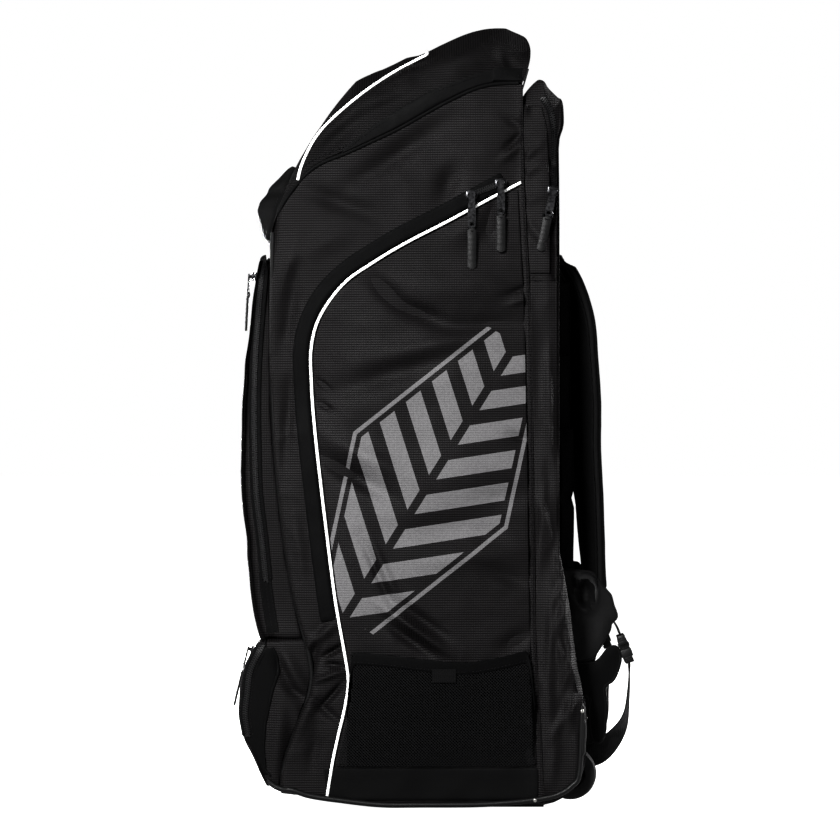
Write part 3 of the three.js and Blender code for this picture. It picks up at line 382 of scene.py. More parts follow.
@dataclass(frozen=True)
class KnitFinish:
    """Spacer knit over foam, with small round dimples."""

    name: str
    slot: str
    base: Colour
    high: Colour
    pitch: float = 0.0032
    relief: float = 0.0006

    def material(self) -> bpy.types.Material:
        """Builds the knit's material.

        Returns:
            The material.
        """
        recipe = Recipe(self.name)
        across, up = recipe.flat_place()
        first = recipe.math("ADD", across, up)
        second = recipe.math("SUBTRACT", across, up)
        pitch = self.pitch * math.sqrt(2)
        knit = recipe.math(
            "MULTIPLY",
            recipe.math("PINGPONG", recipe.math("DIVIDE", first, pitch), 0.5),
            recipe.math("PINGPONG", recipe.math("DIVIDE", second, pitch), 0.5),
        )
        dimple = recipe.ramp(knit, 0.1, 0.2)
        colour = recipe.mix(dimple, self.high, self.base)
        recipe.relief(recipe.math("SUBTRACT", 1.0, dimple), self.relief)
        rough = recipe.ramp(recipe.noise(30.0), 0.3, 0.7, 0.8, 0.92)
        return recipe.done(colour, rough, specular_ior_level=0.04)


@dataclass(frozen=True)
class WebbingFinish:
    """Ribbed webbing and binding tape."""

    name: str
    slot: str
    base: Colour
    high: Colour
    pitch: float = 0.0014
    relief: float = 0.0003

    def material(self) -> bpy.types.Material:
        """Builds the webbing's material.

        Returns:
            The material.
        """
        recipe = Recipe(self.name)
        across, up = recipe.flat_place()
        ribs = recipe.threads(up, self.pitch, 0.45)
        lines = recipe.threads(across, 1.7 * self.pitch, 0.3)
        height = recipe.math("MULTIPLY_ADD", lines, 0.4, ribs)
        colour = recipe.mix(recipe.math("MULTIPLY", height, 0.6), self.base, self.high)
        recipe.relief(height, self.relief)
        rough = recipe.ramp(recipe.noise(60.0), 0.3, 0.7, 0.62, 0.78)
        return recipe.done(colour, rough, specular_ior_level=0.06)


@dataclass(frozen=True)
class MouldedFinish:
    """Moulded plastic, rubber, vinyl or metal with a fine grain and light wear."""

    name: str
    slot: str
    base: Colour
    worn: Colour
    grain: float = 1400.0
    relief: float = 0.00012
    roughness: float = 0.45
    spread: float = 0.1
    metallic: float = 0.0
    gloss: float = 0.14

    def material(self) -> bpy.types.Material:
        """Builds the moulding's material.

        Returns:
            The material.
        """
        recipe = Recipe(self.name)
        grain = recipe.noise(self.grain, 3.0)
        wear = recipe.ramp(recipe.noise(45.0, 5.0, 0.6), 0.52, 0.75, 0.0, 0.45)
        recipe.relief(grain, self.relief)
        rough = recipe.ramp(grain, 0.3, 0.7, self.roughness - self.spread, self.roughness + self.spread)
        return recipe.done(recipe.mix(wear, self.base, self.worn), rough, metallic=self.metallic,
                           specular_ior_level=self.gloss)


RIPSTOP = ClothFinish("ripstop", "ripstop_cloth", (0.0043, 0.0036, 0.0039), (0.0012, 0.0011, 0.0012))
PRINTED = replace(RIPSTOP, name="ripstop_printed", ink=(0.094, 0.092, 0.094))
# Painted shade: the same ripstop with a darker ground, so that the lid looks shaded.
SHADED_LID = replace(RIPSTOP, name="ripstop_lid", ground=(0.0025, 0.0021, 0.0023), gloss=0.105)
SMOOTH = ClothFinish("smooth_cloth", "smooth_cloth", (0.0017, 0.0017, 0.0018), (0.0012, 0.0012, 0.0013),
                     pitch=0.0009, upright=0.8, relief=0.00006, roughness=0.6, gloss=0.065)
# Painted highlight: the same smooth cloth with a ground about three times lighter, for the strap wings.
LIT_WING = replace(SMOOTH, name="wing_cloth", ground=(0.005, 0.0049, 0.0051), gloss=0.17)
# Painted highlight: the same smooth cloth with a slightly lighter ground, for the storm flap, the seam cords
# and the base bands.
LIT_ROLLED = replace(SMOOTH, name="rolled_cloth", ground=(0.0022, 0.0022, 0.0023), gloss=0.09)
PADDED = replace(SMOOTH, name="padded_cloth", slot="padding", pitch=0.0011, relief=0.0001, roughness=0.68,
                 gloss=0.11)
HANDLE = replace(PADDED, name="handle_cloth", gloss=0.06)
NET = WebbingFinish("net_yarn", "net", (0.0034, 0.0034, 0.0036), (0.0086, 0.0086, 0.009), pitch=0.0008,
                    relief=0.0001)
# Painted shade: a near-black sheet set just behind the net, so that its holes look dark.
NET_PAINTED_SHADE = replace(SMOOTH, name="net_lining", ground=(0.0003, 0.0003, 0.0003), groove=(0.0002, 0.0002, 0.0002),
                 gloss=0.01)
KNIT = KnitFinish("spacer_knit", "padding", (0.0006, 0.0006, 0.0007), (0.0019, 0.0019, 0.002))
WEBBING = WebbingFinish("webbing", "webbing", (0.002, 0.002, 0.0021), (0.007, 0.007, 0.0073))
BINDING = WebbingFinish("binding_tape", "smooth_cloth", (0.0018, 0.0018, 0.0019), (0.005, 0.0049, 0.0051))
THREAD = WebbingFinish("thread", "smooth_cloth", (0.0045, 0.0044, 0.0047), (0.012, 0.0117, 0.0123),
                       pitch=0.0006)
WHITE = MouldedFinish("white_piping", "white_piping", (0.86, 0.86, 0.85), (0.74, 0.74, 0.73), roughness=0.42,
                      relief=0.00005, gloss=0.5)
BLACK = MouldedFinish("black_piping", "black_piping", (0.003, 0.003, 0.0031), (0.006, 0.006, 0.0063),
                      roughness=0.6, relief=0.00005, gloss=0.1)
PLASTIC = MouldedFinish("moulded_plastic", "moulding", (0.0026, 0.0026, 0.0027), (0.006, 0.006, 0.0063))
TYRE = MouldedFinish("tyre", "wheel", (0.006, 0.006, 0.0062), (0.016, 0.0157, 0.0155), roughness=0.72)
METAL = MouldedFinish("gunmetal", "zip_metal", (0.02, 0.02, 0.021), (0.05, 0.05, 0.052), grain=300.0,
                      relief=0.00004, roughness=0.3, spread=0.08, metallic=0.9)
COIL = MouldedFinish("zip_coil", "zip_metal", (0.005, 0.005, 0.0053), (0.012, 0.012, 0.0126), roughness=0.38)
PULL = MouldedFinish("soft_pull", "zip_pull", (0.0026, 0.0026, 0.0027), (0.006, 0.006, 0.0063), roughness=0.5)
RIVET = MouldedFinish("rivet", "zip_metal", (0.3, 0.295, 0.28), (0.45, 0.44, 0.42), roughness=0.3,
                      metallic=1.0)

Finish = ClothFinish | KnitFinish | WebbingFinish | MouldedFinish
_MATERIALS: dict[str, bpy.types.Material] = {}


def material_of(finish: Finish) -> bpy.types.Material:
    """Gives a finish's material, built once.

    Args:
        finish: finish of a piece.

    Returns:
        Its material.
    """
    if finish.name not in _MATERIALS:
        _MATERIALS[finish.name] = finish.material()
    return _MATERIALS[finish.name]


# Runs and meshes


def unit_rows(rows: np.ndarray) -> np.ndarray:
    """Scales rows to a length of 1."""
    return rows / np.maximum(np.linalg.norm(rows, axis=1), 1e-12)[:, None]


def blended(wanted: np.ndarray, known: np.ndarray, rows: np.ndarray) -> np.ndarray:
    """Reads rows between the places where they are known."""
    return np.stack([np.interp(wanted, known, rows[:, i]) for i in range(3)], 1)


def grown(value: np.ndarray, start: float, span: float) -> np.ndarray:
    """Grows from 0 at a start to 1 at the end of a span, which is negative to grow downwards."""
    return np.clip((value - start) / span, 0, 1)


def shifted(places: np.ndarray, x: float | np.ndarray = 0.0, y: float | np.ndarray = 0.0,
            z: float | np.ndarray = 0.0) -> np.ndarray:
    """Moves places along X, Y and Z, by one distance or by one for each place."""
    return places + np.stack(np.broadcast_arrays(x, y, z, places[:, 0])[:3], 1)


def squared(turn: float, power: float) -> tuple[float, float]:
    """Gives a point of a squared circle with a radius of 1, squarer with a lower power."""
    c, s = math.cos(turn), math.sin(turn)
    return math.copysign(abs(c) ** power, c), math.copysign(abs(s) ** power, s)


@dataclass
class Run:
    """A path in metres, with the direction that it faces at each point."""

    points: np.ndarray
    facings: np.ndarray

    @classmethod
    def of(cls, points: Iterable[Sequence[float]], facing: Sequence[float] = (1.0, 0.0, 0.0)) -> Run:
        """Makes a run of points in metres, with one facing all along."""
        places = np.array([tuple(point) for point in points], float)
        return cls(places, np.tile(np.array(facing, float), (len(places), 1)))

    @classmethod
    def through(cls, hits: Iterable[tuple[Vector, Vector]]) -> Run:
        """Makes a run from pairs of a point and the direction that it faces."""
        points, facings = zip(*hits)
        return cls(np.array([tuple(p) for p in points]), np.array([tuple(f) for f in facings]))

    def spaced(self, step: float) -> Run:
        """Places points at equal distances along the run.

        Args:
            step: distance in metres.

        Returns:
            The new run.
        """
        spans = np.linalg.norm(np.diff(self.points, axis=0), axis=1)
        reached = np.concatenate([[0.0], np.cumsum(spans)])
        count = max(2, int(round(reached[-1] / step)) + 1)
        wanted = np.linspace(0.0, reached[-1], count)
        return Run(blended(wanted, reached, self.points), unit_rows(blended(wanted, reached, self.facings)))

    def smooth(self, per_span: int = 6) -> Run:
        """Rounds the run off between its points.

        Args:
            per_span: new points for each old span.

        Returns:
            The new run.
        """
        padded = np.concatenate([2 * self.points[:1] - self.points[1:2], self.points,
                                 2 * self.points[-1:] - self.points[-2:-1]])
        share = np.linspace(0.0, 1.0, per_span, endpoint=False)[:, None]
        spans = []
        for a, b, c, d in zip(padded, padded[1:], padded[2:], padded[3:]):
            spans.append(0.5 * (2 * b + (c - a) * share + (2 * a - 5 * b + 4 * c - d) * share**2
                                + (3 * b - a - 3 * c + d) * share**3))
        points = np.concatenate([*spans, self.points[-1:]])
        old = np.arange(len(self.points))
        new = np.linspace(0, len(self.points) - 1, len(points))
        return Run(points, unit_rows(blended(new, old, self.facings)))

    def headings(self) -> np.ndarray:
        """Gives the unit direction of travel at each point."""
        return unit_rows(np.gradient(self.points, axis=0))

    def moved(self, out: float = 0.0, across: float = 0.0) -> Run:
        """Moves the run along its facing and across it, in metres."""
        sideways = unit_rows(np.cross(self.headings(), self.facings))
        return Run(self.points + out * self.facings + across * sideways, self.facings)


class Spots(Run):
    """Single places, each with an upright heading."""

    def headings(self) -> np.ndarray:
        """Gives the upright heading of each place."""
        return np.tile([0.0, 0.0, 1.0], (len(self.points), 1))


def linked(name: str, data: bpy.types.ID) -> bpy.types.Object:
    """Adds an object to the scene.

    Args:
        name: name of the object.
        data: its mesh, light or camera.

    Returns:
        The object.
    """
    item = bpy.data.objects.new(name, data)
    bpy.context.scene.collection.objects.link(item)
    return item


def settle(name: str, mesh: bpy.types.Mesh, finish: Finish, replaced: Sequence[str] = (), body: str = BAG,
           smooth_deg: float = 40.0) -> bpy.types.Object:
    """Puts a finished mesh into the scene and fastens it to its body.

    Args:
        name: name of the piece.
        mesh: its mesh, in its place.
        finish: its finish.
        replaced: solids that it stands for.
        body: body that it moves with.
        smooth_deg: edges sharper than this stay sharp.

    Returns:
        The piece.
    """
    mesh.name = name
    mesh.materials.clear()
    mesh.materials.append(material_of(finish))
    mesh.polygons.foreach_set("use_smooth", [True] * len(mesh.polygons))
    mesh.set_sharp_from_angle(angle=math.radians(smooth_deg))
    piece = linked(name, mesh)
    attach(piece, body)
    if replaced:
        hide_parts(*replaced)
    LOG.info("%s: %d faces on %s", piece.name, len(piece.data.polygons), body)
    return piece


def dress(solid: bpy.types.Object, finish: Finish, edge: float) -> None:
    """Gives a solid that still shows its finish and soft edges.

    Args:
        solid: solid of the frame.
        finish: its finish.
        edge: width of its soft edges, in metres.
    """
    solid.data.materials.clear()
    solid.data.materials.append(material_of(finish))
    bevel = solid.modifiers.new("edges", "BEVEL")
    bevel.width, bevel.segments, bevel.limit_method = edge, 2, "ANGLE"
    LOG.info("%s: dressed as %s", solid.name, finish.name)


def from_bmesh(shape: bmesh.types.BMesh) -> bpy.types.Mesh:
    """Turns a bmesh into a mesh with its normals outwards.

    Args:
        shape: bmesh, which is freed.

    Returns:
        The mesh.
    """
    bmesh.ops.recalc_face_normals(shape, faces=shape.faces)
    mesh = bpy.data.meshes.new("piece")
    shape.to_mesh(mesh)
    shape.free()
    return mesh


def baked(source: bpy.types.Object) -> bpy.types.Mesh:
    """Gives the mesh that an object's modifiers make, and removes the object.

    Args:
        source: object with live modifiers.

    Returns:
        A plain mesh.
    """
    graph = bpy.context.evaluated_depsgraph_get()
    mesh = bpy.data.meshes.new_from_object(source.evaluated_get(graph), depsgraph=graph)
    bpy.data.objects.remove(source)
    return mesh


def corners_of(mesh: bpy.types.Mesh, what: str = "co") -> np.ndarray:
    """Reads the corners of a mesh.

    Args:
        mesh: mesh to read.
        what: "co" for places or "normal" for directions.

    Returns:
        One row for each corner.
    """
    values = np.zeros(len(mesh.vertices) * 3, np.float32)
    mesh.vertices.foreach_get(what, values)
    return values.reshape(-1, 3).astype(float)


def move_corners(mesh: bpy.types.Mesh, places: np.ndarray) -> None:
    """Moves the corners of a mesh to one row of places each."""
    mesh.vertices.foreach_set("co", places.astype(np.float32).ravel())
    mesh.update()


def refined(mesh: bpy.types.Mesh, levels: int, passes: int = 0) -> bpy.types.Mesh:
    """Rounds a mesh with a subdivision surface.

    Args:
        mesh: coarse mesh.
        levels: number of rounds.
        passes: how often the corners are drawn back to where they were.

    Returns:
        The fine mesh.
    """
    draw = 0.8
    source = linked("coarse", mesh)
    modifier = source.modifiers.new("rounding", "SUBSURF")
    modifier.levels = modifier.render_levels = levels
    wanted = corners_of(mesh)
    for _ in range(passes):
        graph = bpy.context.evaluated_depsgraph_get()
        reached = corners_of(source.evaluated_get(graph).data)[:len(wanted)]
        move_corners(mesh, corners_of(mesh) + draw * (wanted - reached))
        bpy.context.view_layer.update()
    return baked(source)


def gathered(meshes: Iterable[bpy.types.Mesh]) -> bmesh.types.BMesh:
    """Puts several meshes into one bmesh.

    Args:
        meshes: meshes, which are removed.

    Returns:
        The bmesh.
    """
    shape = bmesh.new()
    for mesh in meshes:
        shape.from_mesh(mesh)
        bpy.data.meshes.remove(mesh)
    return shape


def join_loops(shape: bmesh.types.BMesh, loops: Sequence[Sequence[bmesh.types.BMVert]],
               ring: bool = False) -> None:
    """Joins loops of corners with faces, into a ring or into a body with closed ends.

    Args:
        shape: bmesh that holds the corners.
        loops: loops with the same number of corners.
        ring: whether the last loop joins the first.
    """
    count = len(loops[0])
    for lower, upper in zip(loops, [*loops[1:], loops[0]] if ring else loops[1:]):
        for i in range(count):
            shape.faces.new((lower[i], lower[(i + 1) % count], upper[(i + 1) % count], upper[i]))
    if not ring:
        shape.faces.new(loops[0])
        shape.faces.new(loops[-1])


def lofted(rows: Iterable[Sequence[Sequence[float]]]) -> bpy.types.Mesh:
    """Joins closed loops into one body with closed ends.

    Args:
        rows: loops with the same number of points, in metres.

    Returns:
        The body.
    """
    shape = bmesh.new()
    join_loops(shape, [[shape.verts.new(point) for point in row] for row in rows])
    return from_bmesh(shape)


def ribbon(run: Run, width: float, thickness: float) -> bpy.types.Mesh:
    """Makes a flat band along a run, with softened edges.

    Args:
        run: middle of the band's underside.
        width: width in metres.
        thickness: thickness in metres.

    Returns:
        The band.
    """
    section = [(-0.5, 0.15), (-0.46, 0.0), (0.46, 0.0), (0.5, 0.15), (0.5, 0.8), (0.44, 1.0), (0.2, 1.0),
               (0.0, 1.0), (-0.2, 1.0), (-0.44, 1.0), (-0.5, 0.8)]
    return lofted(zip(*[run.moved(up * thickness, side * width).points for side, up in section]))


def slab(rows: Sequence[Sequence[Vector]], facings: Sequence[Sequence[Vector]],
         thickness: float) -> bpy.types.Mesh:
    """Makes a thin closed sheet over a grid of points.

    Args:
        rows: grid of the sheet's underside.
        facings: direction that the sheet faces at each point.
        thickness: thickness in metres.

    Returns:
        The sheet.
    """
    shape = bmesh.new()
    low = [[shape.verts.new(point) for point in row] for row in rows]
    high = [[shape.verts.new(Vector(point) + thickness * Vector(out)) for point, out in zip(row, outs)]
            for row, outs in zip(rows, facings)]
    last_row, last = len(low) - 1, len(low[0]) - 1
    for i in range(last_row):
        for j in range(last):
            shape.faces.new((high[i][j], high[i][j + 1], high[i + 1][j + 1], high[i + 1][j]))
            shape.faces.new((low[i][j], low[i + 1][j], low[i + 1][j + 1], low[i][j + 1]))
    for j in range(last):
        shape.faces.new((low[0][j], low[0][j + 1], high[0][j + 1], high[0][j]))
        shape.faces.new((low[last_row][j + 1], low[last_row][j], high[last_row][j], high[last_row][j + 1]))
    for i in range(last_row):
        shape.faces.new((low[i + 1][0], low[i][0], high[i][0], high[i + 1][0]))
        shape.faces.new((low[i][last], low[i + 1][last], high[i + 1][last], high[i][last]))
    return from_bmesh(shape)


def quilted_plate(outline: Sequence[tuple[float, float]], spacing: float,
                  face: Callable[[float, float, float], tuple[Vector, Vector]]) -> bpy.types.Mesh:
    """Fills a flat outline with a fine mesh and gives it two faces.

    Args:
        outline: corners of the outline, in metres.
        spacing: size of the mesh inside it, in metres.
        face: from a place and its distance to the outline, the points on the near and far face.

    Returns:
        The closed plate.
    """
    edge = Run.of([(a, b, 0.0) for a, b in [*outline, outline[0]]]).spaced(spacing).points[:-1, :2]
    low, high = edge.min(0), edge.max(0)
    steps = [np.arange(low[i] + 0.5 * spacing, high[i], spacing) for i in range(2)]
    inner = [(a, b) for a in steps[0] for b in steps[1]
             if np.min(np.linalg.norm(edge - (a, b), axis=1)) > 0.6 * spacing]
    corners = [Vector(point) for point in [*map(tuple, edge), *inner]]
    loop = [(i, (i + 1) % len(edge)) for i in range(len(edge))]
    places, _, triangles, *_ = delaunay_2d_cdt(corners, loop, [list(range(len(edge)))], 1, 1e-7)
    shape = bmesh.new()
    pairs = []
    for place in places:
        away = float(np.min(np.linalg.norm(edge - np.array(place), axis=1)))
        pairs.append([shape.verts.new(point) for point in face(place[0], place[1], away)])
    for triangle in triangles:
        shape.faces.new([pairs[i][0] for i in triangle])
        shape.faces.new([pairs[i][1] for i in reversed(triangle)])
    count = len(edge)
    for i in range(count):
        shape.faces.new((pairs[i][0], pairs[i][1], pairs[(i + 1) % count][1], pairs[(i + 1) % count][0]))
    return from_bmesh(shape)


# Geometry Nodes


class PieceTree:
    """A node tree that turns a plain mesh into painted geometry."""

    def __init__(self, name: str, inputs: dict[str, str]) -> None:
        """Builds the named inputs and the end of the tree.

        Args:
            name: name of the tree.
            inputs: names of the inputs beside the mesh and the finish, with the kinds of their sockets.
        """
        self.tree = bpy.data.node_groups.new(name, "GeometryNodeTree")
        sockets = self.tree.interface
        sockets.new_socket("Source", in_out="INPUT", socket_type="NodeSocketGeometry")
        self.inputs = {
            label: sockets.new_socket(label, in_out="INPUT", socket_type=f"NodeSocket{kind}").identifier
            for label, kind in {**inputs, "Finish": "Material"}.items()}
        sockets.new_socket("Result", in_out="OUTPUT", socket_type="NodeSocketGeometry")
        self.given = self.add("NodeGroupInput")
        self.real = self.add("GeometryNodeRealizeInstances")
        paint = self.add("GeometryNodeSetMaterial")
        result = self.add("NodeGroupOutput")
        self.link(self.real.outputs["Geometry"], paint.inputs["Geometry"])
        self.link(self.given.outputs["Finish"], paint.inputs["Material"])
        self.link(paint.outputs["Geometry"], result.inputs["Result"])

    def add(self, kind: str) -> bpy.types.Node:
        """Adds a node of one kind."""
        return self.tree.nodes.new(kind)

    def link(self, source: Socket, target: Socket) -> None:
        """Links one node's output to another's input."""
        self.tree.links.new(source, target)

    def bake(self, source: bpy.types.Mesh, finish: Finish,
             **values: float | Sequence[float]) -> bpy.types.Mesh:
        """Runs the tree on a mesh.

        Args:
            source: mesh that goes in.
            finish: finish of what comes out.
            values: numbers for the named inputs.

        Returns:
            What comes out, as one plain mesh.
        """
        holder = linked("source", source)
        modifier = holder.modifiers.new("tree", "NODES")
        modifier.node_group = self.tree
        for label, value in {**values, "Finish": material_of(finish)}.items():
            modifier[self.inputs[label]] = value
        return baked(holder)


class StrandTree(PieceTree):
    """Turns the edges of a mesh into round strands: piping, cords, rings and net yarn."""

    def __init__(self) -> None:
        """Builds the tree: a round section along the edges."""
        super().__init__("strands", {"Radius": "Float", "Sides": "Int"})
        curve = self.add("GeometryNodeMeshToCurve")
        ring = self.add("GeometryNodeCurvePrimitiveCircle")
        body = self.add("GeometryNodeCurveToMesh")
        body.inputs["Fill Caps"].default_value = True
        self.link(self.given.outputs["Source"], curve.inputs["Mesh"])
        self.link(self.given.outputs["Sides"], ring.inputs["Resolution"])
        self.link(self.given.outputs["Radius"], ring.inputs["Radius"])
        self.link(curve.outputs[0], body.inputs["Curve"])
        self.link(ring.outputs["Curve"], body.inputs["Profile Curve"])
        self.link(body.outputs["Mesh"], self.real.inputs["Geometry"])

    def make(self, points: Iterable[Sequence[float]], edges: Sequence[tuple[int, int]], radius: float,
             sides: int, finish: Finish) -> bpy.types.Mesh:
        """Makes strands along the edges between points.

        Args:
            points: points in metres.
            edges: pairs of point numbers.
            radius: radius of a strand in metres.
            sides: number of sides of a strand.
            finish: finish of the strands.

        Returns:
            The strands as one plain mesh.
        """
        path = bpy.data.meshes.new("path")
        path.from_pydata([tuple(point) for point in points], list(edges), [])
        return self.bake(path, finish, Radius=float(radius), Sides=sides)


class RowTree(PieceTree):
    """Sets one small shape at each point of a run: stitches, zip teeth or rivets."""

    def __init__(self, unit: Unit) -> None:
        """Builds the tree: the shape at each point, turned along the run and out of its face.

        Args:
            unit: shape that repeats.
        """
        super().__init__(f"{unit.value}_row", {"Size": "Vector"})
        dots = self.add("GeometryNodeMeshToPoints")
        turn = self.add("FunctionNodeAxesToRotation")
        turn.primary_axis, turn.secondary_axis = "X", "Z"
        for name, axis in (("heading", "Primary Axis"), ("facing", "Secondary Axis")):
            reading = self.add("GeometryNodeInputNamedAttribute")
            reading.data_type = "FLOAT_VECTOR"
            reading.inputs["Name"].default_value = name
            self.link(reading.outputs["Attribute"], turn.inputs[axis])
        place = self.add("GeometryNodeInstanceOnPoints")
        self.link(self.given.outputs["Source"], dots.inputs["Mesh"])
        self.link(dots.outputs["Points"], place.inputs["Points"])
        self.link(self._shape(unit), place.inputs["Instance"])
        self.link(turn.outputs["Rotation"], place.inputs["Rotation"])
        self.link(self.given.outputs["Size"], place.inputs["Scale"])
        self.link(place.outputs["Instances"], self.real.inputs["Geometry"])

    def _shape(self, unit: Unit) -> Socket:
        """Adds the repeated shape, one metre across.

        Args:
            unit: shape that repeats.

        Returns:
            Its geometry.
        """
        if unit is Unit.TOOTH:
            return self.add("GeometryNodeMeshCube").outputs["Mesh"]
        ball = self.add("GeometryNodeMeshUVSphere")
        ball.inputs["Segments"].default_value = 12 if unit is Unit.RIVET else 6
        ball.inputs["Rings"].default_value = 6 if unit is Unit.RIVET else 4
        ball.inputs["Radius"].default_value = 0.5
        return ball.outputs["Mesh"]

    def make(self, runs: Sequence[Run], size: tuple[float, float, float], finish: Finish) -> bpy.types.Mesh:
        """Sets the shape at every point of some runs.

        Args:
            runs: runs whose points carry the shapes.
            size: length along, width across and height of one shape, in metres.
            finish: finish of the shapes.

        Returns:
            All shapes as one plain mesh.
        """
        dots = bpy.data.meshes.new("points")
        dots.from_pydata([tuple(point) for run in runs for point in run.points], [], [])
        layers = {"heading": [run.headings() for run in runs], "facing": [run.facings for run in runs]}
        for name, values in layers.items():
            layer = dots.attributes.new(name, "FLOAT_VECTOR", "POINT")
            layer.data.foreach_set("vector", np.concatenate(values).astype(np.float32).ravel())
        return self.bake(dots, finish, Size=size)


# The frame and its solids


@dataclass
class BagFrame:
    """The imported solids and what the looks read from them."""

    nodes: dict[str, bpy.types.Object]
    strands: StrandTree
    rows: dict[Unit, RowTree]
    skins: dict[str, BVHTree] = field(default_factory=dict)

    def merged(self, node: str) -> bmesh.types.BMesh:
        """Copies a solid with its shared corners joined.

        Args:
            node: name of the solid.

        Returns:
            The copy.
        """
        shape = bmesh.new()
        shape.from_mesh(self.nodes[node].data)
        bmesh.ops.remove_doubles(shape, verts=shape.verts, dist=2e-5)
        shape.verts.ensure_lookup_table()
        return shape

    def skin(self, node: str) -> BVHTree:
        """Gives a solid's surface for finding places on it.

        Args:
            node: name of the solid.

        Returns:
            The surface.
        """
        if node not in self.skins:
            shape = self.merged(node)
            self.skins[node] = BVHTree.FromBMesh(shape)
            shape.free()
        return self.skins[node]

    def on_side(self, node: str, side: Side, y: float, z: float) -> tuple[Vector, Vector] | None:
        """Finds the outermost point of a solid at a place in the side view.

        Args:
            node: name of the solid.
            side: side that is looked at.
            y: place along the bag, in metres.
            z: height, in metres.

        Returns:
            The point and the direction that it faces, or None where the solid isn't.
        """
        start, ahead = Vector((side.value, y, z)), Vector((-side.value, 0, 0))
        point, normal, _, _ = self.skin(node).ray_cast(start, ahead)
        return None if point is None else (point, normal)

    def side_run(self, node: str, side: Side, places: Iterable[Sequence[float]]) -> Run:
        """Lays a run on a solid's side, over those places along the bag and up where the solid is."""
        found = [self.on_side(node, side, y, z) for y, z in places]
        return Run.through(hit for hit in found if hit)

    def top_edge(self, node: str, side: Side, y: float, low: float, high: float) -> float:
        """Finds a solid's upper edge at a place in the side view.

        Args:
            node: name of the solid.
            side: side that is looked at.
            y: place along the bag, in metres.
            low: height where the solid is, in metres.
            high: height above the solid, in metres.

        Returns:
            The height of the edge, in metres.
        """
        halvings = 14
        for _ in range(halvings):
            half = (low + high) / 2
            low, high = (half, high) if self.on_side(node, side, y, half) else (low, half)
        return low

    def patch(self, name: str, node: str, side: Side, places: Sequence[Sequence[tuple[float, float]]],
              lift: float, thickness: float, finish: Finish, levels: int = 1) -> list[list[Vector]]:
        """Sews a thin sheet on a solid's side.

        Args:
            name: name of the sheet.
            node: name of the solid.
            side: side that is looked at.
            places: rows of places along the bag and up, in metres.
            lift: distance off the solid, in metres.
            thickness: thickness of the sheet, in metres.
            finish: its finish.
            levels: how often it is rounded.

        Returns:
            The points of its underside.
        """
        facing = Vector((side.value, 0, 0))
        points = []
        for row in places:
            found = [self.on_side(node, side, y, z) for y, z in row]
            known = [hit[0].x for hit in found if hit]
            points.append([Vector((hit[0].x if hit else known[0], y, z)) + lift * facing
                           for hit, (y, z) in zip(found, row)])
        mesh = slab(points, [[facing] * len(row) for row in points], thickness)
        settle(name, refined(mesh, levels) if levels else mesh, finish)
        return points

    def spine(self, node: str, ring: int = 5) -> list[list[Vector]]:
        """Walks along a tube-shaped solid.

        Args:
            node: name of the solid.
            ring: number of corners in one section.

        Returns:
            The corners of each section, from end to end.
        """
        shape = self.merged(node)
        far = self._walk([shape.verts[0]])[-1][0]
        if len(shape.verts) % ring == 2:
            start = [far]
        else:
            start = sorted(shape.verts, key=lambda corner: (corner.co - far.co).length)[:ring]
        sections = [[corner.co.copy() for corner in section] for section in self._walk(start)]
        shape.free()
        return sections

    @staticmethod
    def _walk(start: list[bmesh.types.BMVert]) -> list[list[bmesh.types.BMVert]]:
        """Lists corners step by step from a start.

        Args:
            start: first corners.

        Returns:
            The corners that each further step reaches.
        """
        steps, seen = [start], {corner.index for corner in start}
        while steps[-1]:
            reached = []
            for corner in steps[-1]:
                for edge in corner.link_edges:
                    other = edge.other_vert(corner)
                    if other.index not in seen:
                        seen.add(other.index)
                        reached.append(other)
            steps.append(reached)
        return steps[:-1]

    def middle(self, node: str) -> list[Vector]:
        """Gives the middle line of a tube-shaped solid, from end to end."""
        return [sum(section, Vector()) / len(section) for section in self.spine(node)]

    def faced(self, points: Sequence[Vector], node: str) -> Run:
        """Makes a run that faces away from the solid that carries it."""
        return Run.through((point, self.skin(node).find_nearest(point)[1]) for point in points)

    def stitches(self, name: str, runs: Sequence[Run], step: float = 0.0042,
                 size: Triple = (0.003, 0.0009, 0.0007)) -> None:
        """Sews rows of stitches along runs, with a step and a size in metres."""
        mesh = self.rows[Unit.STITCH].make([run.spaced(step) for run in runs], size, THREAD)
        settle(name, mesh, THREAD, smooth_deg=80.0)

    def tube(self, name: str, run: Run, radius: float, finish: Finish, replaced: Sequence[str] = (),
             sides: int = 10, closed: bool = False) -> None:
        """Adds a round cord.

        Args:
            name: name of the piece.
            run: its middle line.
            radius: radius in metres.
            finish: its finish.
            replaced: solids that it stands for.
            sides: number of sides.
            closed: whether the last point joins the first.
        """
        count = len(run.points)
        edges = [(i, (i + 1) % count) for i in range(count if closed else count - 1)]
        settle(name, self.strands.make(run.points, edges, radius, sides, finish), finish, replaced)


# Soft shells


@dataclass(frozen=True)
class Fold:
    """A soft ridge in a panel, or a dent where its depth is negative, in millimetres."""

    run: float
    up: float
    along: float
    across: float
    heading: float
    depth: float

    def lift(self, run: np.ndarray, up: np.ndarray) -> np.ndarray:
        """Gives how far the fold pushes the cloth out.

        Args:
            run: places along the panel, in millimetres.
            up: heights, in millimetres.

        Returns:
            Distances in millimetres.
        """
        turn = math.radians(self.heading)
        along = (run - self.run) * math.cos(turn) + (up - self.up) * math.sin(turn)
        across = (up - self.up) * math.cos(turn) - (run - self.run) * math.sin(turn)
        return FOLD_GAIN * self.depth * np.exp(-((along / self.along) ** 2) - (across / self.across) ** 2)


def folded(*rows: tuple[float, ...]) -> tuple[Fold, ...]:
    """Makes folds from rows of their numbers."""
    return tuple(Fold(*row) for row in rows)


@dataclass
class Assembly:
    """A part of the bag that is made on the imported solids."""

    frame: BagFrame


